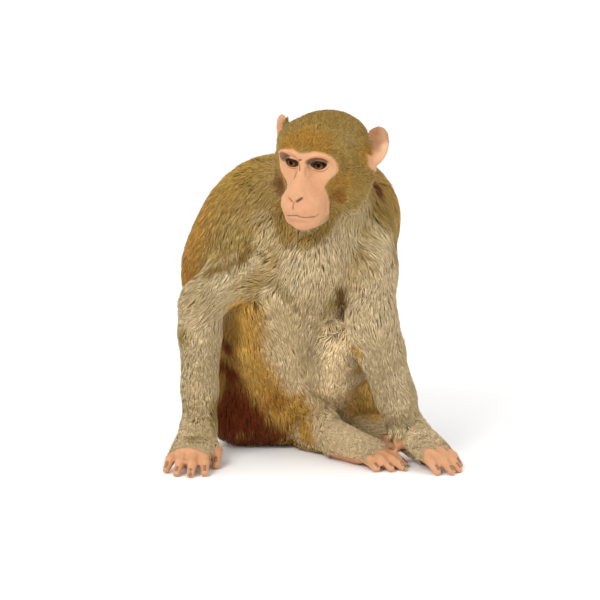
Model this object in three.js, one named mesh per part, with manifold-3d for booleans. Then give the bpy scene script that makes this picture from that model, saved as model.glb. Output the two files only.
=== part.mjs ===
// A rhesus macaque, adult, at life size, sitting on a flat floor with both hands planted beside its feet.
// The body is described as soft fields of tapered limbs and ovals on a skeleton of named joints. Each
// region is turned into a closed surface, thinned to few triangles, trimmed flat on the floor and parted
// by thin cuts.
// Millimetres, +Z up, -Y is the way a viewer in front of the animal stands, +X is the viewer's right.
// Every outline is that of the coat, out to the tips of the fur; face, ears, hands and feet are bare.
import * as THREE from "three";
import Module from "manifold-3d";

const wasm = await Module();
wasm.setup();

// ---------------------------------------------------------------- driving dimensions
const GAP = 0.35; // clearance between neighbouring solids
const CELL = 1; // fineness of the grid the surfaces are taken from, 1 is standard and more is coarser
const TRUNK_YAW = 30; // degrees, how far the chest is turned to the viewer's right
const HEAD_YAW = -25; // degrees, how far the face is turned to the viewer's left
const HEAD_PITCH = 5; // degrees, how far the face looks down
const HEAD_ROLL = 1; // degrees, how far the crown leans to the viewer's left
const EYE_RADIUS = 9.6;
const EYE_SPREAD = 16; // from the middle of the face to each eye's centre
const EYE_LEVEL = 10; // above the head's centre
const EAR_HEIGHT = 54;
const EAR_LEVEL = 16; // above the head's centre
const EAR_OUT = { right: 44, left: 48 }; // from the head's middle to each ear's root
const HIP_SPREAD = 45; // from the middle of the pelvis to each hip joint

const v = (x, y, z) => new THREE.Vector3(x, y, z);
const UP = v(0, 0, 1);
const radians = THREE.MathUtils.degToRad;

// A turned frame: its own forward, left and up directions and an origin.
function makeFrame(origin, yaw, pitch = 0, roll = 0) {
  const turn = new THREE.Matrix4()
    .makeRotationZ(radians(yaw))
    .multiply(new THREE.Matrix4().makeRotationX(radians(pitch)))
    .multiply(new THREE.Matrix4().makeRotationY(radians(roll)));
  const forward = v(0, -1, 0).transformDirection(turn);
  const left = v(1, 0, 0).transformDirection(turn);
  const up = v(0, 0, 1).transformDirection(turn);
  const at = (f, l, u) =>
    origin.clone().addScaledVector(forward, f).addScaledVector(left, l).addScaledVector(up, u);
  return { origin, forward, left, up, at };
}

const lerp = (a, b, t) => a.clone().lerp(b, t);
const towards = (a, b) => b.clone().sub(a).normalize();

// ---------------------------------------------------------------- skeleton
const PELVIS = v(-8, 106, 66);
const trunkFrame = makeFrame(PELVIS, TRUNK_YAW);
const HUNCH = v(-41, 76, 197); // the middle of the bent back
const WITHERS = v(-20, 52, 244);
const HEAD = makeFrame(v(26, -32, 350), HEAD_YAW, HEAD_PITCH, HEAD_ROLL);

const ARMS = {
  right: {
    shoulder: v(-40, -26, 245), elbow: v(-109, -14, 185), wrist: v(-111, 12, 38),
    radii: { shoulder: 36, upper: 29, elbow: 22, belly: 23, low: 19, wrist: 17.5 },
  },
  left: {
    shoulder: v(70, 8, 256), elbow: v(79, -38, 166), wrist: v(116, 8, 38),
    radii: { shoulder: 36, upper: 31, elbow: 26, belly: 25, low: 21, wrist: 18 },
  },
};
const LEGS = {
  right: {
    hip: trunkFrame.at(0, -HIP_SPREAD, 10),
    knee: v(-42, -8, 182),
    ankle: v(20, 44, 38),
    toward: v(0.71, -0.7, 0).normalize(),
  },
  left: {
    hip: trunkFrame.at(0, HIP_SPREAD, 10),
    knee: v(42, -12, 143),
    ankle: v(38, 92, 36),
    toward: v(0.95, -0.31, 0).normalize(),
  },
};
const HANDS = {
  right: {
    toward: v(-0.2, -0.98, 0).normalize(), medial: 1, splay: 1,
    thumb: [[24, 24, 17], [40, 27, 4.3]],
  },
  left: {
    toward: v(0.66, -0.75, 0).normalize(), medial: -1, splay: 0.5,
    thumb: [[6, 16, 30], [10, 19, 21]],
  },
};
const TAIL = [
  trunkFrame.at(-52, 0, -28),
  trunkFrame.at(-86, 6, -50),
  trunkFrame.at(-118, 34, -56),
  trunkFrame.at(-126, 78, -58),
  trunkFrame.at(-110, 124, -59),
  trunkFrame.at(-84, 160, -60),
];

// ---------------------------------------------------------------- fields
// A field gives the distance from a point to a form's surface, negative inside.
function tapered(a, b, ra, rb) {
  const bx = b.x - a.x, by = b.y - a.y, bz = b.z - a.z;
  const length2 = bx * bx + by * by + bz * bz;
  const slope = ra - rb, side2 = length2 - slope * slope;
  return (x, y, z) => {
    const px = x - a.x, py = y - a.y, pz = z - a.z;
    const along = px * bx + py * by + pz * bz;
    const past = along - length2;
    const ux = px * length2 - bx * along, uy = py * length2 - by * along, uz = pz * length2 - bz * along;
    const off2 = ux * ux + uy * uy + uz * uz;
    const k = Math.sign(slope) * slope * slope * off2;
    const start2 = along * along * length2, end2 = past * past * length2;
    if (Math.sign(past) * side2 * end2 > k) return Math.sqrt(off2 + end2) / length2 - rb;
    if (Math.sign(along) * side2 * start2 < k) return Math.sqrt(off2 + start2) / length2 - ra;
    return (Math.sqrt((off2 * side2) / length2) + along * slope) / length2 - ra;
  };
}

// An oval with half sizes along a frame's forward, left and up directions.
function oval(frame, centre, forward, left, up) {
  const { forward: f, left: l, up: u } = frame;
  return (x, y, z) => {
    const px = x - centre.x, py = y - centre.y, pz = z - centre.z;
    const a = (px * f.x + py * f.y + pz * f.z) / forward;
    const b = (px * l.x + py * l.y + pz * l.z) / left;
    const c = (px * u.x + py * u.y + pz * u.z) / up;
    const k0 = Math.sqrt(a * a + b * b + c * c);
    const k1 = Math.sqrt((a / forward) ** 2 + (b / left) ** 2 + (c / up) ** 2);
    return k1 > 0 ? (k0 * (k0 - 1)) / k1 : -Math.min(forward, left, up);
  };
}

const ball = (centre, radius) => (x, y, z) => Math.hypot(x - centre.x, y - centre.y, z - centre.z) - radius;

// Joins fields, filling the creases between them with a fillet of about the given size.
function blend(size, ...fields) {
  return (x, y, z) => {
    let d = fields[0](x, y, z);
    for (let i = 1; i < fields.length; i++) {
      const e = fields[i](x, y, z);
      const h = Math.max(size - Math.abs(d - e), 0) / size;
      d = Math.min(d, e) - (h * h * size) / 4;
    }
    return d;
  };
}

// Hollows a field by others, with the rim rounded to about the given size.
function carve(size, field, ...tools) {
  return (x, y, z) => {
    let d = field(x, y, z);
    for (const tool of tools) {
      const e = -tool(x, y, z);
      const h = Math.max(size - Math.abs(d - e), 0) / size;
      d = Math.max(d, e) + (h * h * size) / 4;
    }
    return d;
  };
}

// A chain of tapers through points, each with its own radius.
const chain = (size, points, radii) =>
  blend(size, ...points.slice(1).map((p, i) => tapered(points[i], p, radii[i], radii[i + 1])));

// ---------------------------------------------------------------- trunk and neck
function trunkField() {
  const t = trunkFrame;
  const hips = [LEGS.right.hip, LEGS.left.hip];
  return blend(
    30,
    oval(t, t.at(4, 0, 0), 58, 74, 71), // pelvis and buttocks
    tapered(v(-28, 98, 100), HUNCH, 66, 82), // loins to the hunched back
    tapered(HUNCH, WITHERS, 82, 83), // hunched back to the withers
    tapered(WITHERS, v(37, 52, 264), 83, 73), // withers to the left shoulder blade
    tapered(v(-6, 68, 112), v(9, -12, 226), 56, 50), // belly to chest
    tapered(v(26, 96, 96), v(34, 66, 220), 50, 56), // left flank
    ball(v(-44, 8, 240), 42), // right shoulder blade
    tapered(v(-30, 94, 44), v(-70, 76, 31), 46, 31), // right buttock, spread on the ground
    tapered(v(34, 114, 62), v(72, 98, 50), 46, 30), // left buttock
    ...hips.map((hip) => ball(hip, 44)), // haunches
  );
}

const neckField = tapered(v(8, 26, 262), v(27, -14, 322), 56, 50);

// ---------------------------------------------------------------- head
function headField() {
  const h = HEAD;
  const face = blend(
    8,
    tapered(h.at(40, 0, 15), h.at(66, 0, -20), 12, 9.5), // nose bridge to nose tip
    tapered(h.at(31, -23, 20), h.at(31, 23, 20), 15.5, 15.5), // brow ridge
    tapered(h.at(30, -21, -6), h.at(30, 21, -6), 16, 16), // cheekbones
    tapered(h.at(33, -14, -16), h.at(33, 14, -16), 15, 15), // cheeks beside the nose
    tapered(h.at(26, 0, -20), h.at(55, 0, -31), 29, 20), // upper jaw
    tapered(h.at(56, -7, -34), h.at(56, 7, -34), 17.5, 17.5), // lips
    tapered(h.at(10, 0, -38), h.at(49, 0, -49), 28, 18), // lower jaw and chin
  );
  const skull = blend(
    16,
    oval(h, h.at(-6, 0, 10), 58, 50, 43), // crown with its fur
    tapered(h.at(-4, -32, -14), h.at(6, -25, -32), 27, 22), // right cheek tuft
    tapered(h.at(-4, 32, -14), h.at(6, 25, -32), 27, 22), // left cheek tuft
  );
  const sockets = [-1, 1].map((side) => ball(h.at(57, side * (EYE_SPREAD + 1), EYE_LEVEL), 12));
  return carve(4, blend(9, skull, face), ...sockets);
}

const eyeCentre = (side) => HEAD.at(39.5, side * EYE_SPREAD, EYE_LEVEL);

function earField(side) {
  const root = HEAD.at(-6, side * (side < 0 ? EAR_OUT.right : EAR_OUT.left), EAR_LEVEL);
  const out = HEAD.left.clone().multiplyScalar(side);
  const lean = makeFrame(root, 0);
  // The shell stands out sideways and opens forwards and outwards.
  lean.forward = HEAD.forward.clone().multiplyScalar(0.8).addScaledVector(out, 0.6).normalize();
  lean.up = HEAD.up.clone().addScaledVector(out, 0.28).addScaledVector(HEAD.forward, -0.1);
  lean.up.addScaledVector(lean.forward, -lean.up.dot(lean.forward)).normalize();
  lean.left = lean.up.clone().cross(lean.forward).normalize();
  const away = Math.sign(lean.left.dot(out));
  const at = (f, l, u) => {
    const beside = root.clone().addScaledVector(lean.left, away * l);
    return beside.addScaledVector(lean.forward, f).addScaledVector(lean.up, u);
  };
  const half = EAR_HEIGHT / 2;
  const shell = blend(
    6,
    oval(lean, at(0, 10, 5), 5, 15.5, half - 3),
    oval(lean, at(1, 4, -11), 5, 10, 12),
    tapered(at(-2, -6, 4), at(-1, 4, -4), 9, 6),
  );
  return carve(3, shell, oval(lean, at(6.2, 9, 5), 6.5, 10.5, half - 9));
}

// ---------------------------------------------------------------- arms and hands
const FINGERS = [
  { length: 33, spread: 11, across: 16, reach: 46 }, // index
  { length: 39, spread: 3, across: 5.5, reach: 50 }, // middle
  { length: 37, spread: -6, across: -5.5, reach: 48 }, // ring
  { length: 30, spread: -16, across: -16, reach: 43 }, // little
];
const KNUCKLE_HEIGHT = 19;
const FINGER_RADIUS = 5.2;
const FINGERTIP_RADIUS = 4.3;
const FLATTENED = 0.8; // how far the pad of a fingertip or toe tip is pressed flat on the floor

function handField(side) {
  const { wrist } = ARMS[side];
  const { toward, medial, splay, thumb: bends } = HANDS[side];
  const floorPoint = wrist.clone().setZ(0);
  const across = UP.clone().cross(toward).multiplyScalar(medial);
  const at = (forward, sideways, height) =>
    floorPoint.clone().addScaledVector(toward, forward).addScaledVector(across, sideways).setZ(height);
  const digits = FINGERS.map(({ length, spread, across: offset, reach }) => {
    const heading = toward.clone().applyAxisAngle(UP, radians(spread * medial * splay));
    const knuckle = at(reach, offset, KNUCKLE_HEIGHT);
    const middle = knuckle.clone().addScaledVector(heading, length * 0.52).setZ(12.5);
    const tip = knuckle.clone().addScaledVector(heading, length - FINGERTIP_RADIUS);
    tip.setZ(FINGERTIP_RADIUS - FLATTENED);
    const ray = tapered(wrist, knuckle, 15, 7.5);
    return { ray, finger: chain(3, [knuckle, middle, tip], [6.6, FINGER_RADIUS, FINGERTIP_RADIUS]) };
  });
  const thumb = chain(
    4,
    [at(6, 8, 28), ...bends.map((bend) => at(...bend))],
    [11, 6.4, FINGERTIP_RADIUS + 0.5],
  );
  const heel = tapered(at(8, -5, 19), at(38, -6, 10), 15, 10.6);
  const palm = blend(9, heel, ...digits.map((d) => d.ray));
  return blend(2.5, blend(7, palm, thumb), ...digits.map((d) => d.finger));
}

function armField(side) {
  const { shoulder, elbow, wrist, radii } = ARMS[side];
  const upper = lerp(shoulder, elbow, 0.4);
  const belly = lerp(elbow, wrist, 0.25);
  const low = lerp(elbow, wrist, 0.7);
  return blend(
    12,
    chain(12, [shoulder, upper, elbow], [radii.shoulder, radii.upper, radii.elbow]),
    chain(10, [elbow, belly, low, wrist], [radii.elbow, radii.belly, radii.low, radii.wrist]),
  );
}

// ---------------------------------------------------------------- legs and feet
const TOES = [
  { length: 38, spread: 7, across: 13, reach: 84 }, // second
  { length: 44, spread: 2, across: 4.5, reach: 86 }, // third
  { length: 42, spread: -4, across: -4.5, reach: 83 }, // fourth
  { length: 37, spread: -10, across: -13, reach: 77 }, // fifth
];
const TOE_RADIUS = 5.4;
const TOE_TIP_RADIUS = 4.6;
const HEEL_BACK = 20; // from the ankle joint back to the middle of the heel

function footField(side) {
  const { ankle, toward } = LEGS[side];
  const medial = side === "right" ? 1 : -1;
  const floorPoint = ankle.clone().setZ(0);
  const across = UP.clone().cross(toward).multiplyScalar(medial);
  const at = (forward, sideways, height) =>
    floorPoint.clone().addScaledVector(toward, forward).addScaledVector(across, sideways).setZ(height);
  const digits = TOES.map(({ length, spread, across: offset, reach }) => {
    const heading = toward.clone().applyAxisAngle(UP, radians(spread * medial));
    const knuckle = at(reach, offset, 14);
    const middle = knuckle.clone().addScaledVector(heading, length * 0.5).setZ(10);
    const tip = knuckle.clone().addScaledVector(heading, length - TOE_TIP_RADIUS);
    tip.setZ(TOE_TIP_RADIUS - FLATTENED);
    const ray = tapered(at(4, offset * 0.3, 26), knuckle, 15, 9);
    return { ray, toe: chain(3, [knuckle, middle, tip], [7.2, TOE_RADIUS, TOE_TIP_RADIUS]) };
  });
  const bigToe = chain(
    4,
    [at(36, 6, 17), at(60, 17, 12), at(80, 23, TOE_TIP_RADIUS)],
    [11, 7.2, TOE_TIP_RADIUS + 0.6],
  );
  const heel = tapered(at(-HEEL_BACK, 0, 14), at(8, 0, 22), 16, 18);
  const sole = tapered(at(-HEEL_BACK, 0, 12), at(66, -4, 8.5), 13.5, 10.5);
  const tarsus = blend(9, heel, sole, ...digits.map((d) => d.ray));
  return blend(2.5, blend(7, tarsus, bigToe), ...digits.map((d) => d.toe));
}

function legField(side) {
  const { hip, knee, ankle } = LEGS[side];
  const thigh = chain(20, [hip, lerp(hip, knee, 0.5).add(v(6, 0, 0)), knee], [42, 37, 26]);
  const back = LEGS[side].toward.clone().multiplyScalar(-1);
  const calf = lerp(knee, ankle, 0.42).addScaledVector(back, 15);
  const low = lerp(knee, ankle, 0.7).addScaledVector(back, 11);
  const shinPath = [knee, lerp(knee, ankle, 0.4), lerp(knee, ankle, 0.78), ankle];
  const shin = chain(12, shinPath, [25, 23, 18, 16.5]);
  const muscle = chain(12, [lerp(knee, ankle, 0.12), calf, low], [18, 31, 22]);
  return blend(14, blend(6, thigh, blend(12, shin, muscle)), footField(side));
}

// ---------------------------------------------------------------- tail
const TAIL_RADII = [22, 17, 14.5, 13, 11.5, 8];
const tailField = chain(10, TAIL, TAIL_RADII);

// ---------------------------------------------------------------- surfaces from fields
// The six tetrahedra of a grid cell, as corner numbers whose bits are the x, y and z steps.
const TETRAHEDRA = [
  [0, 1, 3, 7], [0, 3, 2, 7], [0, 2, 6, 7], [0, 6, 4, 7], [0, 4, 5, 7], [0, 5, 1, 7],
];
const BLOCK = 5; // grid steps in a block that is skipped where no surface can pass

function sampleField(field, low, counts, cell) {
  const [nx, ny, nz] = counts;
  const values = new Float32Array(nx * ny * nz).fill(1);
  const reach = BLOCK * cell * 0.87 * 1.6;
  for (let kb = 0; kb < nz; kb += BLOCK)
    for (let jb = 0; jb < ny; jb += BLOCK)
      for (let ib = 0; ib < nx; ib += BLOCK) {
        const half = (BLOCK - 1) / 2;
        const middle = [ib, jb, kb].map((start) => (start + half) * cell);
        const centre = field(low.x + middle[0], low.y + middle[1], low.z + middle[2]);
        const far = Math.abs(centre) > reach;
        for (let k = kb; k < Math.min(kb + BLOCK, nz); k++)
          for (let j = jb; j < Math.min(jb + BLOCK, ny); j++)
            for (let i = ib; i < Math.min(ib + BLOCK, nx); i++) {
              const edge = i === 0 || j === 0 || k === 0 || i === nx - 1 || j === ny - 1 || k === nz - 1;
              const value = far ? centre : field(low.x + i * cell, low.y + j * cell, low.z + k * cell);
              const kept = Math.abs(value) < 1e-4 ? 1e-4 : value;
              values[i + nx * (j + ny * k)] = edge ? Math.max(kept, cell * 0.5) : kept;
            }
      }
  return values;
}

// The surface where a field is zero, as a closed triangle mesh, by marching tetrahedra.
function surface(field, box, size) {
  const cell = size * CELL;
  const low = box.min;
  const counts = ["x", "y", "z"].map((axis) => Math.ceil((box.max[axis] - low[axis]) / cell) + 1);
  const [nx, ny, nz] = counts;
  const values = sampleField(field, low, counts, cell);
  const step = (corner) => (corner & 1) + nx * (((corner >> 1) & 1) + ny * (corner >> 2));
  const steps = Array.from({ length: 8 }, (_, corner) => step(corner));
  const points = [];
  const faces = [];
  const found = new Map();
  const place = (index) => [index % nx, Math.floor(index / nx) % ny, Math.floor(index / (nx * ny))];
  const crossing = (inside, outside) => {
    const key = Math.min(inside, outside) * 4194304 + Math.abs(outside - inside);
    if (found.has(key)) return found.get(key);
    const a = place(inside), b = place(outside);
    const t = values[inside] / (values[inside] - values[outside]);
    points.push(...["x", "y", "z"].map((axis, n) => low[axis] + cell * (a[n] + t * (b[n] - a[n]))));
    found.set(key, points.length / 3 - 1);
    return points.length / 3 - 1;
  };
  const addFace = (a, b, c, inside, outside) => {
    const p = (n, axis) => points[3 * n + axis];
    const e = [0, 1, 2].map((axis) => p(b, axis) - p(a, axis));
    const g = [0, 1, 2].map((axis) => p(c, axis) - p(a, axis));
    const normal = [e[1] * g[2] - e[2] * g[1], e[2] * g[0] - e[0] * g[2], e[0] * g[1] - e[1] * g[0]];
    const from = place(inside), to = place(outside);
    const out = normal.reduce((sum, n, axis) => sum + n * (to[axis] - from[axis]), 0);
    faces.push(...(out > 0 ? [a, b, c] : [a, c, b]));
  };
  for (let k = 0; k < nz - 1; k++)
    for (let j = 0; j < ny - 1; j++)
      for (let i = 0; i < nx - 1; i++) {
        const base = i + nx * (j + ny * k);
        let below = 0;
        for (const s of steps) if (values[base + s] < 0) below++;
        if (below === 0 || below === 8) continue;
        for (const tetrahedron of TETRAHEDRA) {
          const corners = tetrahedron.map((corner) => base + steps[corner]);
          const ins = corners.filter((c) => values[c] < 0);
          const outs = corners.filter((c) => values[c] >= 0);
          if (ins.length === 1 || ins.length === 3) {
            const lone = ins.length === 1 ? ins[0] : outs[0];
            const others = ins.length === 1 ? outs : ins;
            const ring = others.map((o) => (ins.length === 1 ? crossing(lone, o) : crossing(o, lone)));
            addFace(...ring, ins[0], outs[0]);
          } else if (ins.length === 2) {
            const ac = crossing(ins[0], outs[0]), ad = crossing(ins[0], outs[1]);
            const bc = crossing(ins[1], outs[0]), bd = crossing(ins[1], outs[1]);
            addFace(ac, ad, bd, ins[0], outs[1]);
            addFace(ac, bd, bc, ins[0], outs[0]);
          }
        }
      }
  return { points: Float64Array.from(points), faces: Int32Array.from(faces) };
}

// ---------------------------------------------------------------- thinning to few triangles
// A heap of [cost, ...] entries with the cheapest on top.
class Heap {
  entries = [];
  push(entry) {
    const list = this.entries;
    let n = list.push(entry) - 1;
    while (n > 0) {
      const parent = (n - 1) >> 1;
      if (list[parent][0] <= list[n][0]) break;
      [list[parent], list[n]] = [list[n], list[parent]];
      n = parent;
    }
  }
  pop() {
    const list = this.entries;
    const top = list[0];
    const last = list.pop();
    if (list.length === 0) return top;
    list[0] = last;
    for (let n = 0; ; ) {
      let small = n;
      for (const child of [2 * n + 1, 2 * n + 2])
        if (child < list.length && list[child][0] < list[small][0]) small = child;
      if (small === n) return top;
      [list[small], list[n]] = [list[n], list[small]];
      n = small;
    }
  }
}

// Collapses edges in order of the error they make, measured against the planes they replace, down to
// a target number of triangles or until nothing is left that moves the surface by less than the limit.
function thin(mesh, target, limit = Infinity) {
  const { points, faces } = mesh;
  const count = points.length / 3;
  const planes = new Float64Array(count * 10);
  const around = Array.from({ length: count }, () => new Set());
  const alive = new Uint8Array(faces.length / 3).fill(1);
  const stamp = new Int32Array(count);
  const corner = (face, n) => faces[3 * face + n];
  const point = (n) => [points[3 * n], points[3 * n + 1], points[3 * n + 2]];
  const normalOf = (a, b, c) => {
    const e = [b[0] - a[0], b[1] - a[1], b[2] - a[2]], g = [c[0] - a[0], c[1] - a[1], c[2] - a[2]];
    return [e[1] * g[2] - e[2] * g[1], e[2] * g[0] - e[0] * g[2], e[0] * g[1] - e[1] * g[0]];
  };
  for (let face = 0; face < alive.length; face++) {
    const ids = [corner(face, 0), corner(face, 1), corner(face, 2)];
    const n = normalOf(...ids.map(point));
    const area2 = Math.hypot(...n) || 1e-12;
    const [a, b, c] = n.map((x) => x / area2);
    const p = point(ids[0]);
    const d = -(a * p[0] + b * p[1] + c * p[2]);
    const plane = [a * a, a * b, a * c, a * d, b * b, b * c, b * d, c * c, c * d, d * d];
    // A bounded thinning minds every plane alike, so that none is left by more than the limit.
    const weight = limit === Infinity ? area2 : Number(area2 > 0.01);
    for (const id of ids) {
      around[id].add(face);
      for (let q = 0; q < 10; q++) planes[10 * id + q] += plane[q] * weight;
    }
  }
  const errorAt = (q, x, y, z) =>
    q[0] * x * x + 2 * q[1] * x * y + 2 * q[2] * x * z + 2 * q[3] * x + q[4] * y * y + 2 * q[5] * y * z +
    2 * q[6] * y + q[7] * z * z + 2 * q[8] * z + q[9];
  const heap = new Heap();
  const consider = (a, b) => {
    const q = new Array(10);
    for (let n = 0; n < 10; n++) q[n] = planes[10 * a + n] + planes[10 * b + n];
    const pa = point(a), pb = point(b);
    const middle = pa.map((x, n) => (x + pb[n]) / 2);
    const choices = limit < Infinity ? [pa, pb] : [pa, pb, middle];
    const det = q[0] * (q[4] * q[7] - q[5] * q[5]) - q[1] * (q[1] * q[7] - q[5] * q[2]) +
      q[2] * (q[1] * q[5] - q[4] * q[2]);
    if (Math.abs(det) > 1e-3 && limit === Infinity) {
      const rx = -q[3], ry = -q[6], rz = -q[8];
      const xy = q[4] * q[7] - q[5] * q[5];
      const yz = ry * q[7] - q[5] * rz;
      const zx = q[4] * rz - q[5] * ry;
      const best = [
        (rx * xy - q[1] * yz - q[2] * zx) / det,
        (q[0] * yz - rx * (q[1] * q[7] - q[5] * q[2]) + q[2] * (q[1] * rz - ry * q[2])) / det,
        (q[0] * zx - q[1] * (q[1] * rz - ry * q[2]) + rx * (q[1] * q[5] - q[4] * q[2])) / det,
      ];
      const span = Math.hypot(...pa.map((x, n) => x - pb[n]));
      if (Math.hypot(...best.map((x, n) => x - middle[n])) < 1.5 * span) choices.unshift(best);
    }
    let chosen = null, cost = Infinity;
    for (const c of choices) {
      const e = errorAt(q, ...c);
      if (e < cost) [chosen, cost] = [c, e];
    }
    if (Math.sqrt(Math.max(cost, 0)) > limit) return;
    const length2 = pa.reduce((sum, x, n) => sum + (x - pb[n]) ** 2, 0);
    heap.push([Math.max(cost, 0) + 1e-4 * length2, a, b, stamp[a] + stamp[b], chosen]);
  };
  const neighbours = (a) => {
    const found = new Set();
    for (const face of around[a]) for (let n = 0; n < 3; n++) found.add(corner(face, n));
    found.delete(a);
    return found;
  };
  for (let a = 0; a < count; a++) for (const b of neighbours(a)) if (a < b) consider(a, b);
  let left = alive.length;
  const turnsOver = (a, b, to) => {
    for (const face of around[a]) {
      const ids = [corner(face, 0), corner(face, 1), corner(face, 2)];
      if (ids.includes(b)) continue;
      const before = normalOf(...ids.map(point));
      const after = normalOf(...ids.map((n) => (n === a ? to : point(n))));
      if (Math.hypot(...before) < 1e-3) continue;
      const dot = before[0] * after[0] + before[1] * after[1] + before[2] * after[2];
      if (dot <= 0.25 * Math.hypot(...before) * Math.hypot(...after) + 1e-12) return true;
    }
    return false;
  };
  while (left > target && heap.entries.length) {
    const [, a, b, stamped, to] = heap.pop();
    if (stamped !== stamp[a] + stamp[b] || !around[a].size || !around[b].size) continue;
    const ringA = neighbours(a), ringB = neighbours(b);
    if (!ringA.has(b)) continue;
    let shared = 0;
    for (const n of ringA) if (ringB.has(n)) shared++;
    if (shared !== 2 || turnsOver(a, b, to) || turnsOver(b, a, to)) continue;
    for (const face of [...around[b]]) {
      const ids = [corner(face, 0), corner(face, 1), corner(face, 2)];
      if (ids.includes(a)) {
        alive[face] = 0;
        left--;
        for (const id of ids) around[id].delete(face);
      } else {
        faces[3 * face + ids.indexOf(b)] = a;
        around[a].add(face);
      }
    }
    around[b].clear();
    points.set(to, 3 * a);
    for (let n = 0; n < 10; n++) planes[10 * a + n] += planes[10 * b + n];
    stamp[a] += 1;
    stamp[b] += 1e6;
    for (const n of neighbours(a)) consider(a, n);
  }
  const kept = [], renumber = new Map(), places = [];
  for (let face = 0; face < alive.length; face++) {
    if (!alive[face]) continue;
    for (let n = 0; n < 3; n++) {
      const id = corner(face, n);
      if (!renumber.has(id)) {
        renumber.set(id, renumber.size);
        places.push(...point(id));
      }
      kept.push(renumber.get(id));
    }
  }
  return { points: Float64Array.from(places), faces: Int32Array.from(kept) };
}

// ---------------------------------------------------------------- solids: cutting and parting
const toSolid = ({ points, faces }) => {
  const vertProperties = Float32Array.from(points);
  const triVerts = Uint32Array.from(faces);
  return new wasm.Manifold(new wasm.Mesh({ numProp: 3, vertProperties, triVerts }));
};

// A closed three.js geometry, placed by a matrix, as a solid.
function solidOfGeometry(geometry, matrix = new THREE.Matrix4()) {
  const plain = geometry.clone().applyMatrix4(matrix);
  const names = new Map(), points = [], faces = [];
  const position = plain.getAttribute("position"), index = plain.index.array;
  for (const n of index) {
    const p = [position.getX(n), position.getY(n), position.getZ(n)];
    const key = p.map((x) => Math.round(x * 1e3)).join();
    if (!names.has(key)) {
      names.set(key, names.size);
      points.push(...p);
    }
    faces.push(names.get(key));
  }
  const whole = faces.flatMap((_, n) => {
    const [a, b, c] = n % 3 === 0 ? faces.slice(n, n + 3) : [0, 0, 0];
    return a === b || b === c || a === c ? [] : [a, b, c];
  });
  return toSolid({ points, faces: whole });
}

const WIDE = 900; // a box this wide reaches past the whole animal

// Keeps what lies on the side of a plane that its normal points to, half a gap away from it.
function keepBeyond(solid, point, normal) {
  const turn = new THREE.Quaternion().setFromUnitVectors(UP, normal);
  const middle = point.clone().addScaledVector(normal, GAP / 2 - WIDE / 2);
  const box = new THREE.Matrix4().compose(middle, turn, v(1, 1, 1));
  return solid.subtract(solidOfGeometry(new THREE.BoxGeometry(WIDE, WIDE, WIDE), box));
}

// A round bar from one point to another, grown by a clearance, that marks off the length of a limb.
function bar(from, to, radius, clearance = 0) {
  const direction = towards(from, to);
  const turn = new THREE.Quaternion().setFromUnitVectors(v(0, 1, 0), direction);
  const place = new THREE.Matrix4().compose(lerp(from, to, 0.5), turn, v(1, 1, 1));
  const length = from.distanceTo(to) + 2 * clearance;
  const size = radius + clearance;
  return solidOfGeometry(new THREE.CylinderGeometry(size, size, length, 20), place);
}

// A solid's corners and triangles as plain lists.
function meshOf(solid) {
  const { numProp, vertProperties, triVerts } = solid.getMesh();
  const points = new Float64Array((vertProperties.length / numProp) * 3);
  for (let n = 0; n < points.length / 3; n++)
    points.set(vertProperties.subarray(n * numProp, n * numProp + 3), 3 * n);
  return { points, faces: Int32Array.from(triVerts) };
}

const largest = (solid) => solid.decompose().sort((a, b) => b.volume() - a.volume())[0];

function geometryOf(solid) {
  const { points, faces } = meshOf(solid);
  const geometry = new THREE.BufferGeometry();
  geometry.setAttribute("position", new THREE.Float32BufferAttribute(points, 3));
  geometry.setIndex([...faces]);
  geometry.computeVertexNormals();
  return geometry;
}

// The same solid fattened by the gap: its union with itself shifted along each axis both ways.
function grown(solid) {
  const far = GAP * 1.7;
  const shifts = [[far, 0, 0], [-far, 0, 0], [0, far, 0], [0, -far, 0], [0, 0, far], [0, 0, -far]];
  return shifts.reduce((sum, shift) => sum.add(solid.translate(shift)), solid);
}

// The same solid without the slivers that cuts leave.
const tidied = (solid, limit) => toSolid(thin(meshOf(solid), 0, limit));

// ---------------------------------------------------------------- the parts
const torso = blend(24, trunkField(), neckField);
const withArms = blend(10, torso, blend(5, armField("right"), handField("right")),
  blend(5, armField("left"), handField("left")));
const withHead = blend(14, withArms, headField());
const boxOf = (low, high) => new THREE.Box3(v(...low), v(...high));
const boxAround = (points, margin) => new THREE.Box3().setFromPoints(points).expandByScalar(margin);

const onFloor = (solid) => keepBeyond(solid, v(0, 0, -GAP / 2), UP);
const build = (field, box, cell, triangles) => onFloor(toSolid(thin(surface(field, box, cell), triangles)));

const neckTop = HEAD.at(-14, 0, -46);
const neckUp = v(-0.1, -0.42, 0.9).normalize();
const neckBase = v(14, 14, 284);
const parts = new Map();

const eyeball = (side, radius) => {
  const turn = new THREE.Matrix4().makeBasis(HEAD.left, HEAD.up, HEAD.forward.clone());
  turn.setPosition(eyeCentre(side));
  return solidOfGeometry(new THREE.SphereGeometry(radius, 12, 8), turn);
};

function makeHead() {
  let head = build(withHead, boxAround([HEAD.at(8, 0, -6)], 88), 2.8, 1700);
  head = largest(keepBeyond(head, neckTop, neckUp));
  for (const side of [-1, 1]) {
    head = head.subtract(eyeball(side, EYE_RADIUS + GAP));
    parts.set(side < 0 ? "eye_right" : "eye_left", eyeball(side, EYE_RADIUS));
  }
  parts.set("head", largest(head));
  for (const side of [-1, 1]) {
    const box = boxAround([HEAD.at(-4, side * 54, EAR_LEVEL)], 36);
    parts.set(side < 0 ? "ear_right" : "ear_left", largest(build(earField(side), box, 1.5, 260)));
  }
}

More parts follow.
